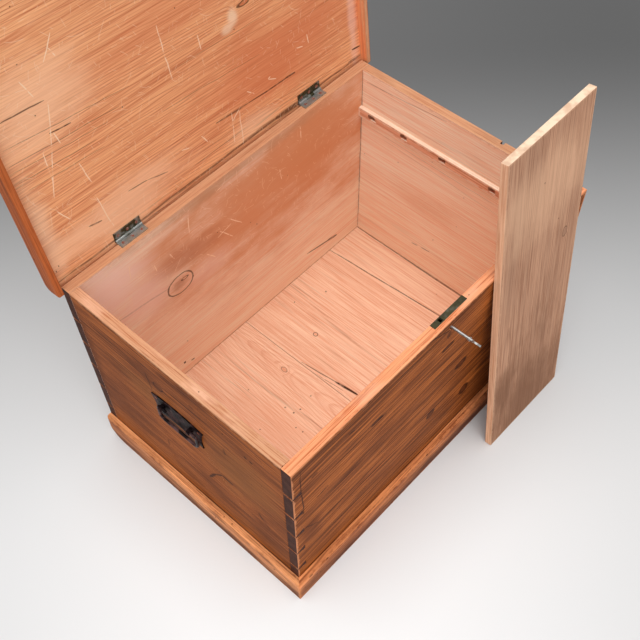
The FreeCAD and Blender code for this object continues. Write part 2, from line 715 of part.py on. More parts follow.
# Link plate under the lid: its staple drops through the slot when the lid is shut.
link_blank = body_with_block("link_blank", "link_length", "lock_width", "link_thickness")
place(link_blank, (SLOT_X, FRONT_INSIDE + " - lock_width / 2", LID_UNDERSIDE + " - link_thickness"))
staple = box("staple", ("staple_thickness", "staple_width", "staple_reach"),
             (SLOT_X + " - staple_thickness / 2",
              FRONT_INSIDE + " - lock_flange_thickness - slot_width / 2 - staple_width / 2",
              LID_UNDERSIDE + " - link_thickness - staple_reach"))
staple_eye = box("staple_eye", ("staple_thickness + 2 * overrun", "staple_eye_width", "staple_eye_height"),
                 (SLOT_X + " - staple_thickness / 2 - overrun",
                  BOLT_Y + " - (bolt_finger_thickness + staple_eye_width) / 2",
                  "rim_height - bolt_drop - (bolt_finger_height + staple_eye_height) / 2"))
lock_link_plate = cut("lock_link_plate", fuse("link_with_staple", [link_blank, staple]),
                      [staple_eye, link_holes])


# Key, made along -Y from its nose with the bit downwards, then turned as it stands in the lock.
def make_key():
    nose = wall - half_depth - size("lock_flange_thickness") - size("key_nose_gap")
    front = -half_depth
    collar = front - size("key_reach")
    neck = collar - size("key_collar_length")
    bow = neck - size("key_neck_length")
    out = Vector(0, -1, 0)

    def shaft(radius, start, length):
        return Part.makeCylinder(radius, length, Vector(0, start, 0), out)

    barrel_radius = size("key_barrel_radius")
    barrel = shaft(barrel_radius, nose, nose - collar)
    ring = shaft(size("key_collar_radius"), collar, size("key_collar_length"))
    stem = shaft(barrel_radius, neck, size("key_neck_length") + size("bow_rim") / 2)
    bit_width = size("key_bit_width")
    bit_thickness = size("key_bit_thickness")
    bit = Part.makeBox(bit_thickness, bit_width, size("key_bit_radius"),
                       Vector(-bit_thickness / 2, nose - size("key_bit_setback") - bit_width,
                              -size("key_bit_radius")))
    centre = Vector(0, bow - size("bow_length") / 2, 0)
    thickness = size("bow_thickness")

    def oval(half_wide, half_long):
        """An oval slab across the stem, centred on the bow."""
        if half_wide > half_long:
            curve = Part.Ellipse(Vector(), half_wide, half_long)
            turn = 90
        else:
            curve = Part.Ellipse(Vector(), half_long, half_wide)
            turn = 0
        slab = Part.Face(Part.Wire(curve.toShape())).extrude(Vector(0, 0, thickness))
        slab.rotate(Vector(), Vector(0, 0, 1), 90 + turn)
        slab.translate(Vector(0, 0, -thickness / 2))
        slab.rotate(Vector(), Vector(0, 1, 0), 90)
        slab.translate(centre)
        return slab

    rim_width = size("bow_rim")
    bow_ring = oval(size("bow_width") / 2, size("bow_length") / 2).cut(
        oval(size("bow_width") / 2 - rim_width, size("bow_length") / 2 - rim_width))
    body = barrel.fuse([ring, stem, bit, bow_ring]).removeSplitter()
    bore = shaft(size("key_bore_radius"), nose + size("overrun"), size("key_bore_depth") + size("overrun"))
    return body.cut(bore)


key = doc.addObject("Part::Feature", "key")
key.Shape = make_key()
key_x = size("lock_place") - size("keyhole_offset")
key.Placement = Placement(Vector(key_x, 0, rim - size("keyhole_drop")),
                          Rotation(Vector(0, -1, 0), size("key_turn")))


# Handles, made flat with the ears' axis at the origin: x along the plate, y up and z outwards.
def make_handle_plate():
    corner = size("handle_plate_width") / 2
    tip = size("handle_tip_width") / 2
    waist = size("handle_waist_width") / 2
    rise = size("handle_corner_rise")
    drop = size("handle_tip_drop")
    top_left = Vector(-corner, rise, 0)
    top_right = Vector(corner, rise, 0)
    low_left = Vector(-tip, -drop, 0)
    low_right = Vector(tip, -drop, 0)
    outline = Part.Wire([
        Part.Arc(top_left, Vector(0, size("handle_crown_rise"), 0), top_right).toShape(),
        Part.Arc(top_right, Vector(waist, -size("handle_waist_drop"), 0), low_right).toShape(),
        Part.Arc(low_right, Vector(0, -size("handle_sag_drop"), 0), low_left).toShape(),
        Part.Arc(low_left, Vector(-waist, -size("handle_waist_drop"), 0), top_left).toShape(),
    ])
    thickness = size("handle_plate_thickness")
    plate = Part.Face(outline).extrude(Vector(0, 0, thickness))
    radius = size("ear_radius")
    width = size("ear_width")
    reach = thickness + size("ear_reach")
    ears = []
    bores = []
    for side in (-1, 1):
        start = side * size("ear_spacing") / 2 - width / 2
        ears.append(Part.makeCylinder(radius, width, Vector(start, 0, reach), Vector(1, 0, 0)))
        ears.append(Part.makeBox(width, 2 * radius, reach, Vector(start, -radius, 0)))
        bores.append(Part.makeCylinder(size("bail_radius") + size("bail_clearance"),
                                       width + 2 * size("overrun"),
                                       Vector(start - size("overrun"), 0, reach), Vector(1, 0, 0)))
    return plate.fuse(ears).removeSplitter().cut(bores)


def make_bail():
    """A C of round bar. Its ends turn in through the ears, where they are free to slide a little."""
    reach = size("handle_plate_thickness") + size("ear_reach")
    middle = size("bail_slide")
    half = size("bail_spread") / 2
    low = -size("bail_drop")
    ends = size("bail_end_spread") / 2
    corner_share = 1 - math.sqrt(0.5)
    corners = [(size("bail_top_bend"), 1, 0), (size("bail_low_bend"), -1, low)]

    def at(x, y):
        return Vector(middle + x, y, reach)

    path = []
    last = at(ends, 0)
    for side in (1, -1):
        for bend, sign, level in corners if side > 0 else corners[::-1]:
            flat = at(side * (half - bend), level)
            crown = at(side * (half - bend * corner_share), level - sign * bend * corner_share)
            upright = at(side * half, level - sign * bend)
            first, second = (flat, upright) if side * sign > 0 else (upright, flat)
            path.append(Part.LineSegment(last, first).toShape())
            path.append(Part.Arc(first, crown, second).toShape())
            last = second
    path.append(Part.LineSegment(last, at(-ends, 0)).toShape())
    ring = Part.Wire(Part.Circle(at(ends, 0), Vector(1, 0, 0), size("bail_radius")).toShape())
    return Part.Wire(path).makePipeShell([ring], True, False)


END_TURN = {-1: Rotation(Vector(0, -1, 0), Vector(0, 0, 1), Vector(-1, 0, 0), "XYZ"),
            1: Rotation(Vector(0, 1, 0), Vector(0, 0, 1), Vector(1, 0, 0), "XYZ")}
handles = []
for side, label in ((-1, "left"), (1, "right")):
    on_end = Placement(Vector(side * half_width, size("handle_offset"), size("handle_height")),
                       END_TURN[side])
    plate_blank = doc.addObject("Part::Feature", "handle_plate_%s_blank" % label)
    plate_blank.Shape = make_handle_plate()
    plate_blank.Placement = on_end
    bail = doc.addObject("Part::Feature", "handle_bail_" + label)
    bail.Shape = make_bail()
    bail.Placement = on_end
    handles += [cut("handle_plate_" + label, plate_blank, [handle_holes]), bail]

# Loose board: it stands on the ground and leans on the front's top arris.
shelf_board = body_with_block("shelf_board", "shelf_width", "shelf_thickness",
                              "case_width - 2 * wall_thickness - shelf_clearance")
shelf_pad = shelf_board.Tip
shelf_edges = shelf_board.newObject("PartDesign::Fillet", "shelf_rounding")
shelf_edges.Base = (shelf_pad, ["Edge%d" % number for number in range(1, len(shelf_pad.Shape.Edges) + 1)])
bind(shelf_edges, Radius="shelf_round")
shelf_board.Tip = shelf_edges
foot = size("shelf_foot_distance")
shelf_tilt = math.atan2(foot, rim) - math.asin(size("shelf_rest_gap") / math.hypot(foot, rim))
half_board = size("shelf_thickness") / 2
shelf_board.Placement = Placement(
    Vector(2 * half_width * size("shelf_place_share"),
           -half_depth - foot - half_board * math.cos(shelf_tilt), half_board * math.sin(shelf_tilt)),
    Rotation(Vector(1, 0, 0), -math.degrees(shelf_tilt)))

# The lid and what it carries are made shut, then turned open about the hinges.
LID_OPEN = Placement(Vector(), Rotation(Vector(1, 0, 0), -size("lid_open_angle")),
                     Vector(0, axis_y, axis_z))
lid_parts = [lid_board, moulding["front"], moulding["left"], moulding["right"], left_lid_leaf,
             right_lid_leaf, lock_link_plate]
doc.recompute()
for item in lid_parts:
    item.Placement = LID_OPEN.multiply(item.Placement)
for item in (hinge_lid_screws, link_plate_screws, lid_moulding_nails):
    opened = doc.addObject("Part::Feature", item.Name.replace("_shut", ""))
    opened.Shape = item.Shape
    opened.Placement = LID_OPEN
    lid_parts.append(opened)

case_parts = [front_board, back_board, ends["left"], ends["right"]] + floor_boards + [
    floor_nails, plinth["front"], plinth["left"], plinth["right"], plinth_nails,
    cleats["left"], cleats["right"], cleat_screws, left_case_leaf, right_case_leaf, left_pin, right_pin,
    hinge_case_screws, lock_plate, lock_cap, lock_drill_pin, lock_screws, lock_bolt, key, handle_screws]
sub_parts = case_parts + lid_parts + handles + [shelf_board]

doc.recompute()
for item in sub_parts:
    item.Label = item.Name
for item in doc.Objects:
    if "Invalid" in item.State or "Error" in item.State:
        raise RuntimeError("%s failed: %s" % (item.Name, item.State))
os.makedirs("parts", exist_ok=True)
for item in sub_parts:
    shape = item.Shape
    if shape.isNull() or not shape.isValid():
        raise RuntimeError("%s has no valid shape" % item.Label)
    print("%-24s %2d solid(s) %12.1f mm3" % (item.Label, len(shape.Solids), shape.Volume))
    shape.exportStep("parts/%s.step" % item.Label)
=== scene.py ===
import math
from functools import reduce

import bpy
from mathutils import Matrix, Vector


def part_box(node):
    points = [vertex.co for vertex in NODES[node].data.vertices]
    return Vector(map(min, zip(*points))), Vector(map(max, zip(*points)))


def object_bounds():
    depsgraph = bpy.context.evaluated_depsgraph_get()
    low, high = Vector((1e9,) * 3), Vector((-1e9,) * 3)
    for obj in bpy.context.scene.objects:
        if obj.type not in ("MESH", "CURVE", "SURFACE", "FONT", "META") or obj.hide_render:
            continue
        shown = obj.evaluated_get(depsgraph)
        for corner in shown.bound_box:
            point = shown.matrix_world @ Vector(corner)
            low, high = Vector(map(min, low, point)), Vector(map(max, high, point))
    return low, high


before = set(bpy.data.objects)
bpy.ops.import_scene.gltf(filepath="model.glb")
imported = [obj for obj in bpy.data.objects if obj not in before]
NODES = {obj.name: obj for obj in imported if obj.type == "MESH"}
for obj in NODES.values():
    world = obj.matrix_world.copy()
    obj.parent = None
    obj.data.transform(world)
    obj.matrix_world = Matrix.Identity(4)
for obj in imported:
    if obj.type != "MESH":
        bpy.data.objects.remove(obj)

CAD_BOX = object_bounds()

bl_info = {
    "name": "Carriage chest",
    "version": (1, 0, 0),
    "blender": (4, 5, 0),
    "location": "3D View > Sidebar > Chest",
    "description": "Finishes the boards, metalwork and setting of a pine carriage chest",
    "category": "Object",
}

MM = 0.001


def paint(red, green, blue):
    """A colour written from 0 to 255 as the eye sees it, as the plain light values that a shader takes."""
    shares = (red / 255, green / 255, blue / 255)
    return tuple(s / 12.92 if s <= 0.04045 else ((s + 0.055) / 1.055) ** 2.4 for s in shares)


def colour_field(name, description, red, green, blue):
    return bpy.props.FloatVectorProperty(
        name=name, description=description, subtype="COLOR", size=3, min=0, max=1,
        default=paint(red, green, blue))


def length_field(name, description, value, top=1.0):
    return bpy.props.FloatProperty(
        name=name, description=description, subtype="DISTANCE", unit="LENGTH", min=0, max=top,
        default=value, precision=4)


def share_field(name, description, value, top=2.0):
    return bpy.props.FloatProperty(
        name=name, description=description, subtype="FACTOR", min=0, max=top, default=value)


def angle_field(name, description, degrees):
    return bpy.props.FloatProperty(
        name=name, description=description, subtype="ANGLE", unit="ROTATION",
        default=math.radians(degrees))


class ChestColours(bpy.types.PropertyGroup):
    """The colours of the woods and metals."""
    outside: colour_field("Outside", "Waxed and darkened outer faces", 200, 113, 52)
    # This colour is a darker copy of the outside colour: painted shade for the left end, which the lamps
    # light more. It is also the light colour of the floor boards' end grain.
    outside_end_shaded: colour_field("Outside of ends", "Waxed outer faces of the ends", 186, 104, 47)
    outside_dark: colour_field("Outside dark", "Grain lines and dirt of the outer faces", 88, 40, 14)
    inside: colour_field("Inside", "Bare inner faces of the walls", 255, 238, 216)
    inside_dark: colour_field("Inside dark", "Grain lines of the inner faces", 244, 192, 160)
    floor: colour_field("Floor", "Bare floor boards", 252, 216, 186)
    # This colour also paints shade on the floor along the front wall.
    floor_dark: colour_field("Floor dark", "Grain lines of the floor boards", 222, 158, 124)
    rim: colour_field("Rim", "Worn top edges", 216, 162, 124)
    rim_dark: colour_field("Rim dark", "Grain lines of the top edges", 196, 126, 82)
    rim_orange: colour_field("Front rim", "Waxed top edge of the front", 252, 172, 124)
    # This colour browns and darkens the upper middle of the back wall and a band across the right end's
    # inner face.
    inside_brown: colour_field("Inside stain", "Brown handling stain inside", 218, 144, 98)
    # This colour is dark handling dirt inside. It is also painted shade in the lower left corner of the
    # back wall.
    inside_dirt_and_shade: colour_field("Inside dirt", "Dark handling dirt inside", 150, 84, 58)
    olive: colour_field("Olive", "Olive grime below the rim", 190, 150, 118)
    olive_out: colour_field("Olive outside", "Olive cast of the old wax", 136, 84, 40)
    bloom: colour_field("Bloom", "Pale bloom on bare wood", 255, 222, 208)
    # This colour browns parts of the lid. Over the lid's right part it is painted shade.
    lid_brown_and_shade: colour_field("Lid stain", "Browned part of the lid", 220, 128, 86)
    lid: colour_field("Lid", "Underside of the lid", 255, 190, 138)
    # This colour is painted light over the lid's left part.
    lid_lit: colour_field("Lid pale", "Paler parts of the lid", 255, 200, 160)
    lid_dark: colour_field("Lid dark", "Grain lines of the lid's underside", 202, 112, 72)
    trim: colour_field("Moulding", "Waxed front of the plinth", 255, 164, 104)
    # This colour is a paler copy of the plinth's moulding colour for its ends: painted light.
    trim_lit: colour_field("Pale moulding", "Paler worn ends of the plinth", 255, 174, 116)
    lid_trim: colour_field("Lid moulding", "Darker waxed moulding of the lid", 198, 108, 60)
    trim_dark: colour_field("Moulding dark", "Grain lines and worn dirt of the mouldings", 124, 60, 32)
    # This colour darkens the lower part of each plinth's faces.
    plinth_low: colour_field("Plinth low", "Scuffed lower part of the plinth", 92, 48, 30)
    end_grain: colour_field("End grain", "End grain of the dovetails", 78, 42, 30)
    board: colour_field("Board", "Weathered face of the loose board", 206, 158, 128)
    board_dark: colour_field("Board dark", "Grain lines of the loose board", 164, 124, 100)
    board_edge: colour_field("Board edge", "Sawn edges of the loose board", 244, 196, 160)
    board_end: colour_field("Board end", "Pale sawn end of the loose board", 252, 226, 196)
    board_low: colour_field("Board low", "Greyed lower part of the loose board", 122, 84, 62)
    pale: colour_field("Scratch", "Fresh scratches in the wood", 255, 220, 186)
    # This colour is the dirt in cracks and pores. It is also used for the painted shadows drawn as dark
    # lines under the left handle's bail, under the key and under the right bearer.
    dirt_and_shade: colour_field("Dirt", "Dirt in cracks and pores", 46, 18, 8)
    hinge: colour_field("Hinge", "Greyed steel of the hinges", 172, 176, 172)
    brass: colour_field("Brass", "Tarnished brass of the lock", 78, 74, 50)
    bright: colour_field("Key", "Worn bright steel of the key", 176, 174, 172)
    iron: colour_field("Iron", "Blackened iron of the handles", 20, 12, 14)
    # This colour is the rubbed places of the handles, and also painted highlights on the bails and plates.
    iron_worn_and_sheen: colour_field("Worn iron", "Rubbed places of the handles", 124, 88, 86)
    rust: colour_field("Rust", "Rust on screws and hinges", 160, 82, 54)


class ChestWear(bpy.types.PropertyGroup):
    """How worn the surfaces are."""
    arris: length_field("Worn edge", "How far the wear of an edge reaches", 5 * MM, 0.05)
    scratches: share_field("Scratches", "How strongly the scratches show", 0.75)
    grain: share_field("Grain", "How strongly the grain shows", 1.0)
    relief: share_field("Relief", "How deep the grain feels", 1.0)


class ChestSetting(bpy.types.PropertyGroup):
    """Camera, lamps and floor."""
    camera_place: bpy.props.FloatVectorProperty(
        name="Camera place", description="Where the camera stands", subtype="TRANSLATION",
        unit="LENGTH", size=3, default=(-0.8518, -0.7678, 1.8058))
    camera_heading: angle_field("Heading", "Turn of the view from straight back to the right", 44.932)
    camera_drop: angle_field("Drop", "How far the view looks down", 58.483)
    camera_roll: angle_field("Roll", "Tilt of the camera about its own view", -2.620)
    lens: bpy.props.FloatProperty(
        name="Lens", description="Focal length in mm on a 36 mm sensor", min=10, max=200, default=51.983)
    shift_across: bpy.props.FloatProperty(
        name="Shift across", description="Shift of the frame in frame widths", default=0.0220)
    shift_up: bpy.props.FloatProperty(
        name="Shift up", description="Shift of the frame in frame widths", default=0.1253)
    overhead: bpy.props.FloatProperty(
        name="Overhead light", description="Strength of the wide overhead lamp", min=0, default=1.95)
    fill: bpy.props.FloatProperty(
        name="Front fill", description="Strength of the soft lamp beside the camera", min=0, default=1.25)
    room: bpy.props.FloatProperty(
        name="Room light", description="Strength of the light from all round", min=0, default=0.36)
    # The near and far floor colours paint the fall-off of light across the floor.
    near_floor: colour_field("Near floor", "Pale floor in front of the chest", 237, 237, 237)
    far_floor: colour_field("Far floor", "Grey floor behind the chest", 106, 106, 106)


def linked(value):
    return isinstance(value, bpy.types.NodeSocket)


def put(socket, value):
    """Links or sets one input."""
    if linked(value):
        socket.id_data.links.new(value, socket)
    else:
        socket.default_value = (*value, 1.0) if socket.type == "RGBA" and len(value) == 3 else value


def add(kind, feeds, **settings):
    """A new node beside those that feed it. feeds are its inputs' values or links, in order or by name."""
    feeds = feeds if isinstance(feeds, dict) else dict(enumerate(feeds))
    made = next(filter(linked, feeds.values())).id_data.nodes.new("ShaderNode" + kind)
    for name, value in settings.items():
        setattr(made, name, value)
    for name, value in feeds.items():
        put(made.inputs[name], value)
    return made


def maths(operation, *values, clamp=False):
    return add("Math", values, operation=operation, use_clamp=clamp).outputs[0]


def slope(value, by, start, clamp=False):
    """value times by, plus start."""
    return maths("MULTIPLY_ADD", value, by, start, clamp=clamp)


def times(*values):
    return reduce(lambda first, second: maths("MULTIPLY", first, second), values)


def either(*values):
    return reduce(lambda first, second: maths("MAXIMUM", first, second), values)


def minus(first, second):
    return maths("SUBTRACT", first, second)


def less(value):
    """How far a share is from the whole."""
    return minus(1.0, value)


def unsigned(value):
    return maths("ABSOLUTE", value)


def vectors(operation, *values):
    made = add("VectorMath", values, operation=operation)
    return made.outputs["Value" if operation in ("LENGTH", "DOT_PRODUCT") else "Vector"]


def scaled(vector, by):
    return add("VectorMath", {"Vector": vector, "Scale": by}, operation="SCALE").outputs[0]


def apart(first, second):
    return vectors("SUBTRACT", first, second)


def parts(vector):
    return add("SeparateXYZ", (vector,)).outputs


def joined(x, y, z):
    return add("CombineXYZ", (x, y, z)).outputs[0]


def split(colour):
    return add("SeparateColor", (colour,)).outputs


def ease(value, low, high):
    """0 at low, 1 at high and a smooth step between. Low may be the larger number, unless it is linked."""
    turned = not linked(low) and not linked(high) and low > high
    first, last = (high, low) if turned else (low, high)
    return add("MapRange", {
        "Value": value, "From Min": first, "From Max": last,
        "To Min": float(turned), "To Max": float(not turned),
    }, interpolation_type="SMOOTHSTEP").outputs["Result"]


def mapped(vector, **settings):
    """A vector moved, turned and scaled."""
    return add("Mapping", {"Vector": vector, **settings}).outputs[0]


def noise(vector, scale=1.0, detail=2.0, rough=0.5, twist=0.0):
    return add("TexNoise", {"Vector": vector, "Scale": scale, "Detail": detail, "Roughness": rough,
                            "Distortion": twist}).outputs["Fac"]


def drift(vector, scale=1.0, detail=2.0):
    """A vector that wanders smoothly about zero."""
    cloud = noise(vector, scale, detail).node.outputs["Color"]
    return apart(joined(*split(cloud)), (0.5, 0.5, 0.5))


def blend(share, first, second, kind="MIX"):
    """A colour between two: 0 is the first, 1 the second."""
    return add("Mix", {0: share, 6: first, 7: second}, data_type="RGBA", blend_type=kind).outputs[2]


def use(name, **values):
    """A shared effect by its name, with its inputs."""
    feeds = {label.replace("_", " "): value for label, value in values.items()}
    return add("Group", feeds, node_tree=bpy.data.node_groups[name]).outputs


def group(name, outputs, **inputs):
    """A new shared effect: its input sockets, and a function that fills its outputs."""
    tree = bpy.data.node_groups.new(name, "ShaderNodeTree")
    kinds = {1: "NodeSocketFloat", 3: "NodeSocketVector", 4: "NodeSocketColor"}
    for label, value in inputs.items():
        kind = kinds[1 if isinstance(value, float) else len(value)]
        tree.interface.new_socket(label.replace("_", " "), in_out="INPUT",
                                  socket_type=kind).default_value = value
    for label in outputs.split(", "):
        tree.interface.new_socket(label, in_out="OUTPUT", socket_type=kinds[4 if label == "Colour" else 1])
    taken = tree.nodes.new("NodeGroupInput").outputs[:len(inputs)]
    shown = tree.nodes.new("NodeGroupOutput").inputs

    def give(**values):
        for label, value in values.items():
            put(shown[label], value)

    return taken, give


ZERO = (0, 0, 0)


def make_board_grain():
    """Growth rings cut from a log, with fibres, broad figure and dark streaks, all along X."""
    taken, give = group(
        "Board grain", "Rings, Fibres, Figure, Streaks, Strands, Depth", Position=ZERO, Seed=ZERO,
        Pith_Across=0.0, Pith_Below=-0.1, Ring_Width=0.006, Wander=0.02, Taper=0.02, Lift=0.0, Late=0.6)
    position, seed, pith_across, pith_below, width, wander, taper, lift, late = taken
    place = vectors("ADD", position, seed)

    def cloud(along, across, move=ZERO, **looks):
        """Noise drawn out along the grain: how many spots there are in a metre, along and across."""
        stretch = (along, across, across)
        return noise(mapped(place, Scale=stretch, Location=move), **looks)

    sway = drift(mapped(place, Scale=(1.1, 5.0, 5.0), Location=ZERO))
    x, y, z = parts(vectors("ADD", position, scaled(sway, wander)))
    away = vectors("LENGTH", joined(0.0, minus(y, pith_across), minus(z, pith_below)))
    away = maths("ADD", slope(x, taper, away), lift)
    shake = 2.2 * MM
    away = slope(cloud(9.0, 60.0, detail=1.0), shake, away)
    count = maths("DIVIDE", away, width)
    share = maths("FRACT", count)
    dark = times(ease(share, late, 0.93), ease(share, 1.0, 0.96))
    each = add("TexWhiteNoise", {"W": maths("FLOOR", count)}, noise_dimensions="1D")
    rings = times(dark, slope(each.outputs["Value"], 0.85, 0.15))
    fibres = cloud(8.0, 430.0, detail=2.5, rough=0.65)
    strands = cloud(2.6, 130.0, (2.3, 4.1, 8.8), detail=3.0, rough=0.7)
    dashes = cloud(6.0, 190.0, (7.7, 0.9, 2.4), detail=2.5)
    where = cloud(2.0, 9.0, (1.3, 5.9, 6.1))
    give(Rings=rings, Fibres=fibres, Strands=ease(strands, 0.47, 0.63),
         Figure=cloud(2.2, 17.0, (3.1, 1.7, 0.4), detail=4.0, rough=0.6, twist=0.3),
         Streaks=times(ease(dashes, 0.54, 0.7), ease(where, 0.4, 0.62)),
         Depth=slope(fibres, 0.5, times(rings, -0.6)))


def make_wood_tone():
    """One wood's colour, from its light and dark and the masks of the grain."""
    (light, dark, figure, strands, rings, fibres), give = group(
        "Wood tone", "Colour", Light=(1, 1, 1, 1), Dark=(0, 0, 0, 1), Figure=0.0, Strands=0.0,
        Rings=0.0, Fibres=0.0)
    body = blend(figure, light, blend(0.5, light, dark))
    body = blend(strands, body, dark)
    deep = blend(0.5, dark, blend(1.0, dark, dark, "MULTIPLY"))
    body = blend(rings, body, deep)
    give(Colour=blend(fibres, body, blend(1.0, body, dark, "MULTIPLY")))


def make_stain():
    """A cloudy spot on a board's shown face."""
    (position, cloud, centre, reach), give = group(
        "Stain", "Mask", Position=ZERO, Cloud=0.5, Centre=ZERO, Reach=(0.1, 0.1, 1))
    flat = vectors("MULTIPLY", apart(position, centre), (1, 1, 0))
    away = vectors("LENGTH", vectors("DIVIDE", flat, reach))
    spot = slope(minus(cloud, 0.5), 1.6, away)
    give(Mask=ease(spot, 1.15, 0.2))


def make_knot():
    """A knot: its eye, the dark line round it, and how far it lifts the rings near it."""
    (position, centre, uneven, reach, pull, spread, rim, rough), give = group(
        "Knot", "Eye, Outline, Lift, Rings", Position=ZERO, Centre=ZERO, Uneven=0.5,
        Reach=(0.02, 0.01, 1.0), Pull=0.02, Spread=2.0, Rim=0.1, Rough=0.3)
    away = vectors("LENGTH", vectors("DIVIDE", apart(position, centre), reach))
    away = slope(minus(uneven, 0.5), rough, away)
    off = unsigned(minus(away, 1.0))
    far = maths("DIVIDE", away, spread)
    give(Eye=ease(away, 1.05, 0.85),
         Outline=less(ease(off, times(rim, 0.3), rim)),
         Lift=times(maths("EXPONENT", times(far, far, -1.0)), pull),
         Rings=ease(maths("SINE", times(away, 22.0)), 0.0, 1.0))


def make_line():
    """A crack, streak, scratch or painted shadow from one point to another, thinner at its ends, a little
    crooked.
    """
    (position, kept, first, last, width), give = group(
        "Line", "Mask", Position=ZERO, Kept=1.0, From=ZERO, To=(1, 0, 0), Width=0.001)
    start, run = apart(position, first), apart(last, first)
    along = maths("DIVIDE", vectors("DOT_PRODUCT", start, run),
                  vectors("DOT_PRODUCT", run, run), clamp=True)
    away = vectors("LENGTH", apart(start, scaled(run, along)))
    taper = maths("POWER", times(along, less(along), 4.0), 0.35)
    wide = times(width, slope(taper, 0.9, 0.1))
    give(Mask=times(less(ease(away, times(wide, 0.3), wide)), kept))


def make_edge():
    """Wear near a board's own edges, from its middle and half size."""
    (position, middle, half, reach), give = group(
        "Edge wear", "Wear", Position=ZERO, Middle=ZERO, Half=(1, 1, 1), Reach=0.005)
    inward = apart(half, vectors("ABSOLUTE", apart(position, middle)))
    x, y, z = parts(inward)
    away = either(maths("MINIMUM", x, y), maths("MINIMUM", either(x, y), z))
    rough = noise(position, scale=70.0, detail=4.0, rough=0.65)
    worn = times(reach, slope(rough, 3.2, -0.9))
    give(Wear=ease(minus(away, worn), 1.2 * MM, -0.6 * MM))


def make_scratches():
    """Hair-fine scratches and nicks: in each cell of a loose net, one short line turned its own way."""
    (position, amount), give = group("Scratches", "Mask", Position=ZERO, Amount=0.5)
    # cells in a metre, half width and half length in metres, share of the cells that have one
    nets = (20.0, 0.0008, 0.02, 0.3), (38.0, 0.0007, 0.011, 0.34), (66.0, 0.0007, 0.006, 0.4)
    found = []
    for number, (cells, width, length, kept) in enumerate(nets):
        move = (number * 3.1, number * 1.7, 0)
        place = vectors("MULTIPLY_ADD", position, (1, 1, 0), move)
        net = add("TexVoronoi", {"Vector": place, "Scale": cells}).outputs
        turn, bend, chance = split(net["Color"])
        turned = add("VectorRotate", {"Vector": apart(place, net["Position"]),
                                      "Angle": times(turn, 9.0)}, rotation_type="Z_AXIS")
        u, v = parts(turned.outputs[0])[:2]
        bow = times(u, u, slope(bend, 40.0, -20.0))
        near = ease(unsigned(minus(v, bow)), width, width * 0.4)
        stroke = times(near, ease(unsigned(u), length, length * 0.6))
        found.append(times(stroke, maths("LESS_THAN", chance, kept)))
    give(Mask=times(either(*found), amount))


def make_specks():
    """Small dark pits and dents."""
    (position, spacing, size, amount), give = group(
        "Specks", "Mask", Position=ZERO, Spacing=0.03, Size=0.0015, Amount=0.3)
    scale = maths("DIVIDE", 1.0, spacing)
    cells = add("TexVoronoi", {"Vector": position, "Scale": scale}).outputs
    kept = maths("LESS_THAN", split(cells["Color"])[0], amount)
    reach = times(size, scale)
    dot = less(ease(cells["Distance"], times(reach, 0.5), reach))
    give(Mask=times(kept, dot))


def make_tarnish():
    """Patches and pits of old metal."""
    (position, size), give = group("Tarnish", "Patches, Pits, Rubbed", Position=ZERO, Size=90.0)
    patches = noise(position, size, detail=5.0, rough=0.7, twist=0.4)
    rub = noise(vectors("ADD", position, (0.3, 0.7, 0.1)), times(size, 0.6), detail=3.0)
    give(Patches=ease(patches, 0.42, 0.62), Rubbed=ease(rub, 0.46, 0.6),
         Pits=noise(position, times(size, 9.0), detail=3.0, rough=0.6))


class Lay:
    """How a board lies: a point of its shown face, and the directions of its grain and its width."""

    def __init__(self, origin, grain, across):
        grain, across = Vector(grain), Vector(across)
        self.turn = Matrix((grain, across, grain.cross(across)))
        self.place = -(self.turn @ Vector(origin))

    def spots(self, node):
        """A node's corners, in the board's own directions."""
        return [self.turn @ v.co + self.place for v in NODES[node].data.vertices]

    def extent(self, node):
        """Middle and half size of a node, in the board's own directions."""
        shown = self.spots(node)
        low = Vector(min(p[i] for p in shown) for i in range(3))
        high = Vector(max(p[i] for p in shown) for i in range(3))
        return (low + high) / 2, (high - low) / 2


HALF_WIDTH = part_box("front_board")[1][0]
FRONT_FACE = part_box("front_board")[0][1]
BACK_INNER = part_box("back_board")[0][1]
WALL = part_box("front_board")[1][1] - FRONT_FACE
FLOOR_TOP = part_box("front_board")[0][2]
LID_TURN = math.radians(6.5)  # how far past upright the lid rests
UP_LID = (0, math.sin(LID_TURN), math.cos(LID_TURN))
OUT_OF_LID = (0, math.cos(LID_TURN), -math.sin(LID_TURN))
INTO_LID = tuple(-a for a in OUT_OF_LID)
LEAN = math.radians(7.80)  # how far the loose board leans back
UP_BOARD = (0, math.sin(LEAN), math.cos(LEAN))
HINGE_LINE = (0, 0.2874, 0.5113)  # a point of the lid's inner face, in metres
BOARD_FOOT = (0.2385, -0.3682, 0)  # the middle of the loose board's foot, in metres
X, Y, Z = (1, 0, 0), (0, 1, 0), (0, 0, 1)
LEFTWARD, FORWARD = (-1, 0, 0), (0, -1, 0)

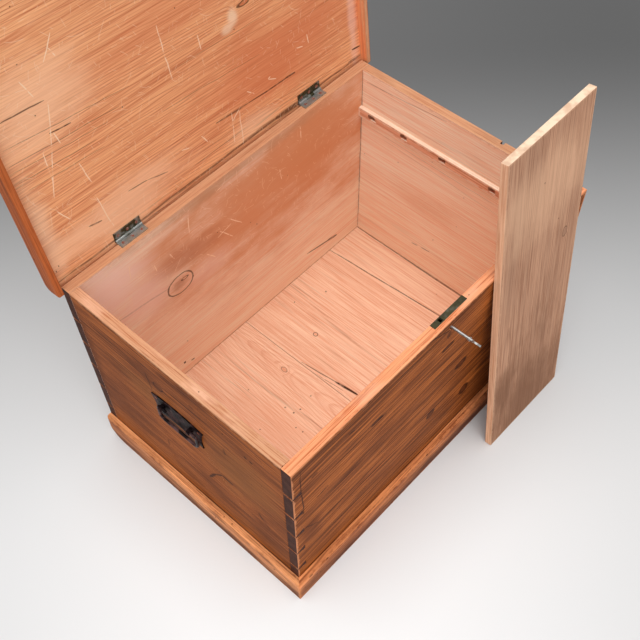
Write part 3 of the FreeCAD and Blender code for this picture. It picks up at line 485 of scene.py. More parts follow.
LAYS = {
    "front_board": Lay((0, FRONT_FACE, 0), X, Z),
    "back_board": Lay((0, BACK_INNER, 0), X, Z),
    "left_end": Lay((-HALF_WIDTH, 0, 0), FORWARD, Z),
    "right_end": Lay((HALF_WIDTH - WALL, 0, 0), FORWARD, Z),
    "floor_board_left": Lay((0, 0, FLOOR_TOP), Y, LEFTWARD),
    "floor_board_middle": Lay((0, 0, FLOOR_TOP), Y, LEFTWARD),
    "floor_board_right": Lay((0, 0, FLOOR_TOP), Y, LEFTWARD),
    "plinth_front": Lay((0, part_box("plinth_front")[0][1], 0), X, Z),
    "plinth_left": Lay((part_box("plinth_left")[0][0], 0, 0), FORWARD, Z),
    "plinth_right": Lay((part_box("plinth_right")[1][0], 0, 0), Y, Z),
    "cleat_left": Lay((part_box("cleat_left")[1][0], 0, 0), Y, Z),
    "cleat_right": Lay((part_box("cleat_right")[0][0], 0, 0), FORWARD, Z),
    "lid_board": Lay(HINGE_LINE, X, UP_LID),
    "lid_moulding_front": Lay(HINGE_LINE, X, UP_LID),
    "lid_moulding_left": Lay(HINGE_LINE, UP_LID, OUT_OF_LID),
    "lid_moulding_right": Lay(HINGE_LINE, UP_LID, INTO_LID),
    "shelf_board": Lay(BOARD_FOOT, UP_BOARD, LEFTWARD),
}


def mm(*values):
    return tuple(v * MM for v in values)


def line(x0, y0, x1, y1, width, strength, wander=6.0, pale=False):
    """A mark from one point to another, in mm along and across a board: dark like a crack or a painted
    shadow, or pale like a scratch.
    """
    ends = {"From": mm(x0, y0, 0), "To": mm(x1, y1, 0), "Width": width * MM}
    return ends, wander * MM, strength, pale


def scuff(x0, y0, x1, y1):
    """A long fine scratch."""
    return line(x0, y0, x1, y1, 1.5, 0.9, 10.0, True)


def seam(node, side, width, strength):
    """Dirt in the joint along one long edge of a floor board. side is 1 or -1."""
    spots = LAYS[node].spots(node)
    first, last = min(p.x for p in spots), max(p.x for p in spots)
    start, stop = (side * max(side * p.y for p in spots if abs(p.x - x) < MM) for x in (first, last))
    ends = {"From": (-last, start, 0), "To": (last, stop, 0), "Width": width * MM}
    return ends, 2 * MM, strength, False


def knot(x, y, along, across, pull=10.0, rim=0.12, rough=0.9, fill=0.8):
    """A knot, in mm along and across a board. fill is how dark its eye is."""
    looks = {"Centre": mm(x, y, 0), "Reach": (*mm(along, across), 1), "Pull": pull * MM,
             "Rim": rim, "Rough": rough}
    return looks, fill


def stain(x, y, along, across, colour, strength):
    """A cloudy spot, in mm along and across a board."""
    return {"Centre": mm(x, y, 0), "Reach": (*mm(along, across), 1)}, colour, strength


# Pairs of a light and a dark wood, by the names of their colours
OUTER, INNER = ("outside", "outside_dark"), ("inside", "inside_dark")
# The ends' pair uses the darker copy of the outer faces' colour, as painted shade for the left end.
END_FACE = ("outside_end_shaded", "outside_dark")
RIM, FLOOR = ("rim", "rim_dark"), ("floor", "floor_dark")
LID_TRIM = ("lid_trim", "trim_dark")


def cleat(seed):
    """A bearer inside an end, with dark gouges at its screws."""
    gouges = [(x - 9, 406, x + 9, 407, 9.0, 0.8, 3.0) for x in (-225, -134, -30, 100)]
    return dict(shown=("inside_dark", "rim_dark"), edge=INNER, seed=seed, pith=(0.3, -0.2), ring=0.006,
                soft=0, lines=[*gouges, (35, 418, 48, 417, 2.5, 0.8)])


def plinth(seed, light, low_dark, rise, lines=()):
    """A plinth's moulding, darker as far up as rise, with worn dirt along its top."""
    low = [(x, 0, 190, rise, "plinth_low", low_dark) for x in (-300, -100, 100, 300)]
    top = [(x, 62, 34, 14, "trim_dark", 0.6) for x in (-250, -120, 60, 200, 330)]
    return dict(shown=(light, "trim_dark"), end=(light, "trim_dark"), seed=seed, pith=(0.2, -0.05),
                ring=0.005, ring_share=0.5, streak_share=1.0, fibre_share=0.65, strand_share=0.45,
                worn=0.3, smudge=0.3, specks=(0.016, 0.002, 0.5), edge_share=1.0, lines=lines,
                stains=[*low, *top, (-250, 50, 170, 60, "trim_dark", 0.4)])


def lid_moulding(seed, hidden=LID_TRIM):
    """A side of the lid's moulding."""
    return dict(shown=LID_TRIM, hidden=hidden, end=LID_TRIM, seed=seed, pith=(0.1, -0.06), ring=0.005,
                ring_share=0.6, streak_share=0.5, fibre_share=0.5, strand_share=0.6, worn=0.3)


# Each board's woods, grain and wear, as wood() takes them. Its marks are in mm along and across it, in the
# order that knot(), stain(), line(), scuff() and seam() take them.
BOARDS = {
    "front_board": dict(shown=OUTER, hidden=INNER, edge=("rim_orange", "rim_dark"), seed=2.3,
        pith=(-0.15, -0.10), ring=0.0085, taper=0.02, streak_share=0.8, ring_share=0.7, figure_share=0.8,
        fibre_share=0.8, strand_share=0.7, smudge=0.5, specks=(0.02, 0.0014, 0.4), edge_share=0.25,
        knots=[(60, 307, 14, 9, 10.0, 0.4, 0.9, 1.0), (94, 174, 13, 13, 10.0, 0.4, 0.9, 1.0),
        (2, 427, 14, 5, 10.0, 0.4, 0.9, 1.0), (-20, 213, 11, 9, 10.0, 0.35, 0.9, 1.0),
        (-193, 409, 13, 4, 10.0, 0.4, 0.9, 1.0), (310, 210, 14, 9, 10.0, 0.4, 0.9, 1.0)],
        stains=[(-370, 235, 40, 60, "outside_dark", 0.6), (150, 60, 120, 120, "outside_dark", 0.5),
        (80, 250, 60, 40, "outside_dark", 0.4), (-120, 120, 120, 40, "outside_dark", 0.35)],
        lines=[(-410, 73, 410, 73, 4.6, 0.9, 2.0), (-4, 482, -62, 507, 2.4, 0.9, 4.0),
        (-193, 409, -169, 405, 3.0, 0.95), (-271, 460, -255, 456, 2.6, 0.8),
        (-352, 345, -322, 349, 3.4, 0.95), (-364, 436, -348, 437, 2.6, 0.85),
        (-388, 492, -387, 330, 2.4, 0.8, 14.0), (-384, 270, -350, 240, 3.0, 0.6, 16.0),
        (-300, 300, -140, 312, 1.4, 0.6), (-200, 93, 32, 81, 1.8, 0.5), (-390, 374, -203, 362, 1.5, 0.6),
        (-330, 250, -100, 262, 1.5, 0.55), (-150, 380, -20, 389, 1.5, 0.5), (-120, 180, 60, 186, 1.4, 0.5),
        # The mark from (-3, 476) to (-3, 458) is a painted shadow below the key.
        (40, 350, 180, 356, 1.6, 0.6), (-70, 450, -20, 452, 2.0, 0.7), (-3, 476, -3, 458, 9.0, 0.6, 3.0)]),
    "back_board": dict(shown=INNER, hidden=OUTER, edge=RIM, seed=5.1, pith=(-0.1, -0.07), ring=0.007,
        late=0.4, ring_share=0.3, streak_share=0.1, scratch=0.7, figure_share=0.5, fibre_share=0.4,
        knots=[(-173, 317, 35, 26, 30.0, 0.075, 0.2, 0.3), (-160, 324, 9, 3, 2.0, 0.4, 0.6, 1.0)],
        lines=[(-388, 25, 388, 25, 2.4, 0.6, 3.0), (201, 82, 309, 60, 3.0, 0.8, 4.0),
        (275, 68, 309, 60, 5.0, 0.8, 4.0), (-211, 66, -205, 64, 4.5, 0.95, 1.0),
        (-190, 54, -180, 52, 3.0, 0.8, 1.0), (-339, 349, -205, 330, 3.0, 0.22, 8.0),
        (49, 313, 52, 313, 2.5, 0.8), (-188, 128, -186, 128, 2.5, 0.8)],
        scuffs=[(-121, 490, -129, 432), (-276, 466, -282, 431), (-225, 421, -221, 397),
        (-52, 374, -18, 331), (128, 414, 133, 384), (194, 486, 196, 454), (-183, 418, -175, 397),
        (-96, 342, -74, 315), (-42, 485, -26, 488), (-141, 479, -134, 480), (-60, 360, -20, 372),
        (-30, 395, 10, 350)],
        # These spots brown and darken the upper middle of the back wall.
        stains=[(130, 390, 520, 250, "inside_brown", 0.8), (40, 400, 380, 120, "inside_brown", 0.4),
        (-150, 380, 120, 44, "inside_dirt_and_shade", 0.3), (280, 420, 240, 170, "inside_brown", 0.5),
        # The spot at (-340, 60) is painted shade in the lower left corner of the back wall.
        (-340, 60, 60, 60, "inside_dirt_and_shade", 0.4), (-40, 500, 330, 22, "olive", 0.5),
        (-330, 495, 80, 30, "olive", 0.2), (-176, 319, 28, 21, "inside_dirt_and_shade", 0.55),
        (-265, 350, 80, 70, "bloom", 0.6), (-340, 430, 110, 90, "bloom", 0.9),
        (-90, 300, 80, 40, "bloom", 0.35)]),
    "left_end": dict(shown=END_FACE, hidden=INNER, edge=RIM, seed=8.7,
        pith=(-0.2, -0.2), ring=0.012, wander=0.05, streak_share=0.9, ring_share=0.1, figure_share=1.0,
        fibre_share=0.7, strand_share=0.32, smudge=0.8, edge_share=0.4, specks=(0.02, 0.0015, 0.4),
        knots=[(-45, 425, 12, 9, 8.0, 0.22, 0.5, 0.2)],
        stains=[(-190, 250, 110, 160, "outside_dark", 0.35), (60, 180, 90, 60, "outside_dark", 0.3),
        (-262, 300, 26, 260, "outside_dark", 0.6), (150, 330, 120, 110, "olive_out", 0.6),
        (-60, 360, 130, 70, "olive_out", 0.5), (220, 150, 70, 70, "outside_dark", 0.35)],
        lines=[(-283, 73, 297, 73, 5.0, 0.9, 2.0), (51, 205, 74, 242, 5.0, 0.8, 8.0),
        (74, 242, 96, 267, 4.0, 0.7, 8.0), (96, 267, 124, 262, 5.5, 0.9, 8.0),
        (186, 234, 197, 215, 4.0, 0.75, 8.0), (197, 215, 214, 197, 3.4, 0.6, 8.0),
        (171, 438, 178, 434, 4.2, 0.85, 4.0), (184, 435, 192, 435, 4.4, 0.85, 4.0),
        (201, 478, 218, 470, 2.6, 0.5, 4.0), (120, 456, 124, 455, 3.4, 0.7, 4.0),
        (109, 500, 121, 497, 3.0, 0.6, 4.0), (117, 394, 117, 374, 5.0, 0.45, 4.0),
        (-59, 82, -48, 62, 4.0, 0.6, 4.0), (-65, 212, -68, 184, 4.0, 0.4, 4.0),
        (40, 458, 52, 455, 3.4, 0.6, 4.0), (-76, 440, -68, 392, 4.0, 0.5, 8.0),
        # The line from (-66, 318) to (40, 316) is a painted shadow between the handle's bail and its
        # plate.
        (123, 164, 125, 164, 3.0, 0.7, 4.0), (-66, 318, 40, 316, 8.0, 0.85, 2.0),
        (-60, 300, 90, 292, 1.0, 0.4), (110, 380, 220, 392, 1.0, 0.45), (-200, 180, -60, 172, 1.0, 0.4)]),
    "right_end": dict(shown=INNER, hidden=OUTER, edge=RIM, seed=11.9, pith=(-0.3, -0.3), ring=0.0055,
        late=0.45, ring_share=0.35, streak_share=0.15, scratch=0.45, taper=0.03,
        lines=[(-261, 25, 261, 25, 2.4, 0.45, 3.0), (-260, 30, -260, 505, 3.0, 0.5, 3.0),
        # The line from (-261, 390) to (261, 390) is a painted shadow just below the bearer.
        (-261, 390, 261, 390, 3.4, 0.6, 3.0), (-249, 483, -175, 487, 1.6, 0.45),
        (-175, 487, -35, 500, 1.4, 0.4), (-90, 94, -72, 96, 2.4, 0.5), (-62, 98, -35, 102, 2.4, 0.5),
        (-31, 148, -29, 148, 2.4, 0.8), (-150, 317, -148, 317, 2.2, 0.8), (-248, 282, -246, 282, 2.2, 0.7),
        (26, 235, 28, 235, 2.2, 0.6), (-228, 366, 114, 362, 1.2, 0.35), (-200, 356, 120, 340, 1.0, 0.3)],
        stains=[(-60, 240, 120, 40, "inside_brown", 0.3)]),
    "floor_board_left": dict(shown=FLOOR, end=END_FACE, seed=3.9, pith=(0.052, -0.022), ring=0.0065,
        taper=0.16, wander=0.03, ring_share=0.32, streak_share=0.25, scratch=0.3, late=0.5,
        strand_share=0.25, figure_share=0.8, specks=(0.022, 0.0016, 0.4),
        knots=[(100, 53, 8, 5, 14.0)],
        lines=[(-262, 388, 262, 388, 3.0, 0.7, 4.0), (25, 125, 29, 126, 3.0, 0.8),
        (2, 123, 6, 122, 2.8, 0.8), (-3, 106, 1, 107, 2.6, 0.8), (121, 148, 124, 148, 2.6, 0.7),
        (4, 64, 7, 64, 2.4, 0.7), (-28, 147, -25, 146, 2.6, 0.7), (-47, 145, -44, 145, 2.6, 0.7)],
        # The spot at (-225, 260) is painted shade on the floor along the front wall.
        stains=[(180, 250, 60, 60, "floor_dark", 0.5), (-225, 260, 70, 200, "floor_dark", 0.5),
        (10, 165, 160, 50, "floor_dark", 0.4)]),
    "floor_board_middle": dict(shown=FLOOR, end=END_FACE, seed=6.4, pith=(0.1, -0.12), ring=0.006,
        taper=0.02, ring_share=0.16, streak_share=0.2, scratch=0.3, strand_share=0.25, figure_share=0.8,
        soft=0, specks=(0.05, 0.0018, 0.4),
        knots=[(113, -69, 5.5, 5, 6.0, 0.25, 0.2, 0.4)],
        seams=[(-1, 1.8, 0.75), (1, 1.0, 0.45)],
        lines=[(85, 11, -24, -3, 1.8, 0.75, 3.0), (-10, -1, -72, -9, 4.4, 0.95, 3.0),
        (60, 16, -40, 5, 1.4, 0.5, 3.0), (179, -180, 183, -180, 3.0, 0.6)]),
    "floor_board_right": dict(shown=FLOOR, end=END_FACE, seed=9.8, pith=(-0.5, -0.1), ring=0.008,
        ring_share=0.2, streak_share=0.1, figure_share=0.3, strand_share=0.15,
        seams=[(1, 1.8, 0.75)],
        lines=[(-262, -388, 262, -388, 3.0, 0.7, 4.0)]),
    "lid_board": dict(shown=("lid", "lid_dark"), hidden=OUTER, seed=1.2,
        pith=(-0.10, -0.12), ring=0.0052, wander=0.02, taper=0.09, late=0.55, ring_share=0.6,
        streak_share=0.45, figure_share=0.5, scratch=0.55, worn=0.1, smudge=0.1, strand_share=0.42,
        fibre_share=0.4,
        knots=[(123, 272, 14, 5, 26.0, 0.3, 1.2, 0.9)],
        lines=[(-386, 335, -303, 327, 2.0, 0.8), (-316, 273, -274, 267, 1.8, 0.9),
        (7, 86, 90, 79, 2.6, 0.7), (40, 83, 80, 80, 4.0, 0.5), (90, 79, 223, 72, 2.2, 0.8),
        (195, 74, 223, 72, 3.4, 0.8), (-215, 79, -172, 73, 1.6, 0.7, 10.0),
        (-172, 73, -123, 61, 1.6, 0.6, 10.0), (150, 5, 234, 2, 9.0, 0.75, 4.0),
        (-413, 4, 413, 4, 4.0, 0.6, 6.0), (60, 6, 200, 4, 7.0, 0.5, 6.0), (-313, 67, -284, 61, 2.4, 0.7),
        (389, 30, 414, 26, 3.0, 0.9, 2.0), (375, 8, 416, 4, 3.0, 0.6, 2.0),
        (-400, 292, -150, 262, 1.1, 0.5), (-402, 262, -180, 240, 1.2, 0.55),
        (-400, 248, -210, 226, 1.0, 0.5), (-398, 226, -240, 210, 1.2, 0.5),
        (-390, 205, -230, 190, 1.1, 0.45), (-60, 240, 160, 226, 1.0, 0.4), (-100, 180, 140, 160, 1.1, 0.4),
        (-411, 48, -409, 47, 3.0, 0.8), (-404, 28, -402, 28, 3.0, 0.8), (-396, 35, -394, 35, 2.6, 0.8)],
        scuffs=[(-298, 322, -321, 247), (-321, 247, -353, 164), (-339, 249, -342, 191),
        (-287, 192, -277, 144), (-281, 118, -266, 31), (-69, 331, -63, 225), (-255, 417, -283, 381),
        (-268, 398, -260, 380), (-330, 377, -318, 341), (-308, 271, -302, 246), (49, 84, 41, 20),
        (68, 77, 62, 3), (74, 86, 43, 62), (267, 133, 268, 112), (153, 98, 173, 88), (235, 119, 253, 112),
        (93, 104, 111, 90), (-83, 81, -59, 73), (-32, 81, -21, 61), (-356, 137, -339, 106),
        (10, 269, 11, 240), (153, 99, 160, 101)],
        # The lid is painted lighter over its left part and darker over its right part, as painted light
        # and shade.
        stains=[(200, 140, 260, 110, "lid_brown_and_shade", 0.75), (-40, 330, 260, 60, "lid_brown_and_shade", 0.4),
        (396, 130, 14, 220, "bloom", 0.35), (-396, 110, 34, 130, "pale", 0.45),
        (-240, 50, 190, 70, "lid_lit", 0.8), (-330, 330, 140, 110, "lid_lit", 0.7),
        (330, 320, 160, 130, "lid_brown_and_shade", 0.5), (92, 262, 15, 20, "pale", 0.75),
        (76, 246, 16, 11, "pale", 0.6), (100, 30, 80, 30, "pale", 0.35)]),
    "shelf_board": dict(shown=("board", "board_dark"), edge=("board_edge", "board"),
        end=("board_end", "board"), seed=41.0, pith=(0.085, -0.025), ring=0.0045, taper=0.035, wander=0.02,
        ring_share=0.35, streak_share=0.12, figure_share=0.8, strand_share=0.3, late=0.4,
        specks=(0.03, 0.001, 0.3), gloss=0.7, worn=0.2, edge_share=1.0, soft=0,
        knots=[(490, -78, 12, 7, 8.0), (557, -122, 14, 5, 4.0)],
        lines=[(664, 10, 668, 10, 2.2, 0.6), (540, -50, 544, -50, 2.4, 0.6)],
        stains=[(170, 90, 90, 40, "board_low", 0.45), (0, 0, 330, 200, "board_low", 0.75),
        (560, 92, 190, 22, "board_dark", 0.5), (640, 0, 120, 200, "board_edge", 0.4)]),
    "plinth_front": plinth(14.0, "trim", 1.0, 58, [
        (-30, 66, -24, 66, 3.0, 0.8), (-344, 66, -338, 67, 3.0, 0.8), (-250, 64, -246, 64, 2.6, 0.8),
        (-395, 66, -385, 64, 5.0, 0.7), (120, 60, 150, 62, 2.0, 0.6), (-180, 40, -100, 43, 1.8, 0.6)]),
    # The end plinths take the paler copy of the moulding colour, as painted light.
    "plinth_left": plinth(17.3, "trim_lit", 0.9, 42, [
        (-120, 60, -60, 57, 2.0, 0.6), (40, 50, 90, 54, 2.4, 0.6), (150, 62, 160, 62, 3.0, 0.7)]),
    "plinth_right": plinth(20.6, "trim_lit", 0.9, 42),
    "cleat_left": cleat(25.0),
    "cleat_right": cleat(27.1),
    "lid_moulding_front": lid_moulding(33.0),
    "lid_moulding_left": lid_moulding(34.9),
    # The right moulding's inner face takes the paler rim and moulding colours, as painted light on that
    # face.
    "lid_moulding_right": lid_moulding(36.8, ("rim", "trim")),
}


def new_material(name):
    """A material, the inputs of its Principled shader, and the coordinates of its surface."""
    material = bpy.data.materials.new(name)
    material.use_nodes = True
    shader = next(n for n in material.node_tree.nodes if n.type == "BSDF_PRINCIPLED")
    return material, shader.inputs, material.node_tree.nodes.new("ShaderNodeTexCoord").outputs


def dress(nodes, material):
    """Gives CAD nodes a material through their own slots."""
    for name in nodes:
        for held in NODES[name].material_slots:
            held.link = "OBJECT"
            held.material = material


CLOUDS = (7.0, 16.0, 16.0)  # how many clouds of wear a metre has, along and across a board
DENT = 3.0  # how deep a speck is, where the grain's own relief is about 1
GRAIN_DEPTH, PIT_DEPTH = 0.5 * MM, 0.2 * MM
WAX_SHINE = 0.06  # how much old wax mirrors, where 0.5 is usual


def emboss(shader, height, strength, depth):
    """Lets the surface's height show in its shading."""
    bump = add("Bump", {"Height": height, "Strength": strength, "Distance": depth})
    put(shader["Normal"], bump.outputs[0])


def find_knots(place, knots):
    """How far knots lift the rings near them, and each knot's masks with how dark its eye is."""
    lift, eyes = 0.0, []
    if knots:
        uneven = noise(place, 45.0)
    for looks, fill in (knot(*sizes) for sizes in knots):
        found = use("Knot", Position=place, Uneven=uneven, **looks)
        lift = maths("ADD", lift, found["Lift"])
        eyes.append((found, fill))
    return lift, eyes


def draw_marks(place, marks):
    """The masks of the dark marks (under False) and the pale ones (under True), where there are any."""
    if not marks:
        return {}
    shake = drift(place, 14.0, detail=3.0)
    gaps = ease(noise(place, 60.0), 0.46, 0.38)
    kept = {pale: less(times(gaps, share)) for pale, share in ((True, 0.8), (False, 0.3))}
    shaken, drawn = {}, {}
    for wander in sorted({mark[1] for mark in marks}):
        moved = vectors("ADD", scaled(shake, wander), place)
        shaken[wander] = vectors("MULTIPLY", moved, (1, 1, 0))
    for ends, wander, strength, pale in marks:
        found = use("Line", Position=shaken[wander], Kept=kept[pale], **ends)
        mask = times(found["Mask"], strength)
        drawn[pale] = either(drawn[pale], mask) if pale in drawn else mask
    return drawn


def wood(node, shown, hidden=None, edge=None, end=("end_grain", "dirt_and_shade"), seed=0.0, pith=(0.0, -0.12),
         ring=0.007, wander=0.015, taper=0.015, late=0.6, ring_share=0.6, streak_share=0.5,
         figure_share=0.6, fibre_share=0.5, strand_share=0.42, knots=(), stains=(), seams=(), lines=(),
         scuffs=(), scratch=0.0, specks=(0.03, 0.0015, 0.25), smudge=0.15, gloss=0.55, worn=0.45,
         edge_share=0.5, soft=0.9 * MM):
    """Finishes one board. shown, hidden, edge and end name the light and the dark wood of its shown
    face, the face behind it, its long edges and its ends. pith is where the middle of the tree lies,
    across the board and behind its face, and ring is how wide a growth ring is, both in metres."""
    lay, tone, wear = LAYS[node], bpy.context.scene.chest_colours, bpy.context.scene.chest_wear
    hidden, edge = hidden or shown, edge or shown
    two_faced = hidden != shown

    def pair(names):
        return [getattr(tone, name) for name in names]

    material, shader, seen = new_material(node.replace("_", " "))
    turn = lay.turn.to_euler("XYZ")
    place = mapped(seen["Object"], Location=lay.place, Rotation=turn)
    end_way, side_way, out_way = parts(mapped(seen["Normal"], Rotation=turn))
    ends = ease(unsigned(end_way), 0.6, 0.85)
    sides = ease(unsigned(side_way), 0.5, 0.8)
    out = ease(out_way, 0.2, 0.6)
    lift, eyes = find_knots(place, knots)
    grain = use("Board grain", Position=place, Seed=(seed, seed * 0.37, seed * 0.61),
                Pith_Across=pith[0], Pith_Below=pith[1], Ring_Width=ring, Wander=wander,
                Taper=taper, Lift=lift, Late=late)
    plain = less(times(sides, 1.0 - edge_share))
    figure = ease(grain["Figure"], 0.3, 0.75)
    fibre = times(ease(grain["Fibres"], 0.42, 0.66), fibre_share * wear.grain)
    figure, strand, bands = (times(times(mask, share * wear.grain), plain) for mask, share in (
        (figure, figure_share), (grain["Strands"], strand_share), (grain["Rings"], ring_share)))

    def surface(names):
        light, dark = pair(names)
        return use("Wood tone", Light=light, Dark=dark, Figure=figure, Strands=strand,
                   Rings=bands, Fibres=fibre)["Colour"]

    face, dark, inner_share = surface(shown), pair(shown)[1], streak_share
    if two_faced:
        face = blend(out, surface(hidden), face)
        dark = blend(out, pair(hidden)[1], dark)
        inner_share = min(streak_share, 0.15)
    if edge != shown:
        face = blend(sides, face, surface(edge))
    streaks = times(grain["Streaks"], slope(out, streak_share - inner_share, inner_share))
    face = blend(streaks, face, tone.dirt_and_shade)
    cloud = noise(vectors("MULTIPLY", place, CLOUDS), detail=5.0, rough=0.6)
    face = blend(times(ease(cloud, 0.45, 0.75), smudge), face, dark)
    for reach, colour, strength in (stain(*sizes) for sizes in stains):
        spot = use("Stain", Position=place, Cloud=cloud, **reach)
        face = blend(times(spot["Mask"], out, strength), face, getattr(tone, colour))
    for found, fill in eyes:
        inner = times(found["Eye"], out, slope(found["Rings"], 0.25, 0.75))
        face = blend(times(inner, fill), face, dark)
        face = blend(times(found["Outline"], out, 0.75), face, tone.dirt_and_shade)

    marks = [seam(node, *sizes) for sizes in seams] + [line(*sizes) for sizes in lines]
    drawn = draw_marks(place, marks + [scuff(*sizes) for sizes in scuffs])
    for pale, mask in sorted(drawn.items()):
        face = blend(times(out, mask), face, tone.pale if pale else tone.dirt_and_shade)
    if scratch:
        nicks = use("Scratches", Position=place, Amount=scratch * wear.scratches)
        nicked = times(nicks["Mask"], out, ease(cloud, 0.34, 0.54))
        face = blend(nicked, face, tone.pale)
    spacing, size, amount = specks
    dots = use("Specks", Position=place, Spacing=spacing, Size=size, Amount=amount)["Mask"]
    face = blend(times(dots, 0.85), face, tone.dirt_and_shade)
    middle, half = lay.extent(node)
    rubbed = use("Edge wear", Position=place, Middle=middle, Half=half, Reach=wear.arris)
    face = blend(times(rubbed["Wear"], worn), face, pair(edge)[0])
    soot = ease(noise(place, 60.0, detail=4.0), 0.35, 0.65)
    face = blend(ends, face, blend(times(soot, 0.6), *pair(end)))

    put(shader["Base Color"], face)
    put(shader["Roughness"], slope(grain["Fibres"], 0.25, gloss - 0.12))
    shader["Specular IOR Level"].default_value = WAX_SHINE
    emboss(shader, minus(grain["Depth"], times(dots, DENT)), min(1.0, 0.55 * wear.relief), GRAIN_DEPTH)
    dress([node], material)
    if soft:
        soften(node, soft)


def soften(node, width):
    """Rounds a board's arrises, as handling does."""
    made = NODES[node].modifiers
    made.new("joined", "WELD").merge_threshold = 0.01 * MM
    plain = made.new("plain faces", "DECIMATE")
    plain.decimate_type, plain.angle_limit = "DISSOLVE", math.radians(0.5)
    rounded = made.new("rounded arrises", "BEVEL")
    rounded.width, rounded.segments = width, 2
    rounded.limit_method, rounded.angle_limit = "ANGLE", math.radians(50)
    rounded.use_clamp_overlap, rounded.miter_outer = False, "MITER_SHARP"


def metal(name, nodes, colour, second, size, metallic, rough, second_share=0.6, rubbed=None,
          rubbed_share=0.0, relief=0.4, shine_level=0.5):
    """Finishes nodes in a metal with pits, patches of a second colour and rubbed places. size is how
    many patches a metre has."""
    tone = bpy.context.scene.chest_colours
    material, shader, seen = new_material(name)
    held = use("Tarnish", Position=seen["Object"], Size=size)
    patches = times(held["Patches"], second_share)
    face = blend(patches, getattr(tone, colour), getattr(tone, second))
    if rubbed:
        face = blend(times(held["Rubbed"], rubbed_share), face, getattr(tone, rubbed))
    put(shader["Base Color"], face)
    shine = slope(held["Pits"], 0.3, rough - 0.15)
    put(shader["Roughness"], slope(held["Patches"], 0.15, shine, clamp=True))
    if metallic:
        put(shader["Metallic"], slope(patches, -0.5 * metallic, metallic))
    shader["Specular IOR Level"].default_value = shine_level
    emboss(shader, held["Pits"], relief, PIT_DEPTH)
    dress(nodes, material)


def finish(*boards):
    """Finishes boards as the table above says."""
    for node in boards:
        wood(node, **BOARDS[node])
    return {"FINISHED"}


class CHEST_OT_groups(bpy.types.Operator):
    """Make the shared effects of the surfaces"""
    bl_idname = "chest.groups"
    bl_label = "Shared effects"

    def execute(self, context):
        for make in (make_board_grain, make_wood_tone, make_stain, make_knot, make_line, make_edge,
                     make_scratches, make_specks, make_tarnish):
            make()
        return {"FINISHED"}


class CHEST_OT_walls(bpy.types.Operator):
    """Finish the four walls of the case"""
    bl_idname = "chest.walls"
    bl_label = "Walls"

    def execute(self, context):
        return finish("front_board", "back_board", "left_end", "right_end")


class CHEST_OT_floor_boards(bpy.types.Operator):
    """Finish the floor boards, and the nails of the chest"""
    bl_idname = "chest.floor_boards"
    bl_label = "Floor boards"

    def execute(self, context):
        metal("cut nail iron", ["floor_nails", "plinth_nails", "lid_moulding_nails"],
              "iron", "rust", 300.0, 0.7, 0.6)
        return finish("floor_board_left", "floor_board_middle", "floor_board_right")


class CHEST_OT_plinth(bpy.types.Operator):
    """Finish the plinth"""
    bl_idname = "chest.plinth"
    bl_label = "Plinth"

    def execute(self, context):
        return finish("plinth_front", "plinth_left", "plinth_right")


class CHEST_OT_cleats(bpy.types.Operator):
    """Finish the bearers inside the ends"""
    bl_idname = "chest.cleats"
    bl_label = "Bearers"

    def execute(self, context):
        return finish("cleat_left", "cleat_right")


class CHEST_OT_lid(bpy.types.Operator):
    """Finish the lid's panel"""
    bl_idname = "chest.lid"
    bl_label = "Lid"

    def execute(self, context):
        return finish("lid_board")


class CHEST_OT_lid_moulding(bpy.types.Operator):
    """Finish the moulding round the lid"""
    bl_idname = "chest.lid_moulding"
    bl_label = "Lid moulding"

    def execute(self, context):
        return finish("lid_moulding_front", "lid_moulding_left", "lid_moulding_right")


class CHEST_OT_shelf_board(bpy.types.Operator):
    """Finish the loose board"""
    bl_idname = "chest.shelf_board"
    bl_label = "Loose board"

    def execute(self, context):
        return finish("shelf_board")


class CHEST_OT_hinges(bpy.types.Operator):
    """Finish the hinges, and the screws of the hinges, bearers and handles"""
    bl_idname = "chest.hinges"
    bl_label = "Hinges"

    def execute(self, context):
        metal("greyed hinge steel", ["hinge_left_case_leaf", "hinge_right_case_leaf"],
              "hinge", "iron", 110.0, 0.85, 0.36, 0.4, "bright", 0.5)
        metal("browned hinge steel", ["hinge_left_lid_leaf", "hinge_right_lid_leaf"],
              "brass", "iron", 110.0, 0.75, 0.4, 0.35, "hinge", 0.6)
        metal("hinge pin brass", ["hinge_left_pin", "hinge_right_pin"], "brass", "hinge", 90.0, 0.8, 0.4)
        metal("rubbed screw steel", ["hinge_case_screws", "hinge_lid_screws"],
              "rust", "hinge", 260.0, 0.6, 0.5)
        metal("rusty screw steel", ["cleat_screws", "handle_screws"], "rust", "iron", 260.0, 0.6, 0.5)
        return {"FINISHED"}


class CHEST_OT_lock(bpy.types.Operator):
    """Finish the lock"""
    bl_idname = "chest.lock"
    bl_label = "Lock"

    def execute(self, context):
        metal("tarnished lock brass",
              ["lock_plate", "lock_link_plate", "lock_bolt", "lock_screws", "link_plate_screws"],
              "brass", "iron", 55.0, 0.7, 0.42, 0.45, "hinge", 0.25)
        metal("lock case steel", ["lock_cap", "lock_drill_pin"], "hinge", "rust", 70.0, 0.8, 0.45)
        return {"FINISHED"}


class CHEST_OT_key(bpy.types.Operator):
    """Finish the key"""
    bl_idname = "chest.key"
    bl_label = "Key"

    def execute(self, context):
        metal("worn key steel", ["key"], "bright", "hinge", 140.0, 1.0, 0.3, 0.35)
        return {"FINISHED"}


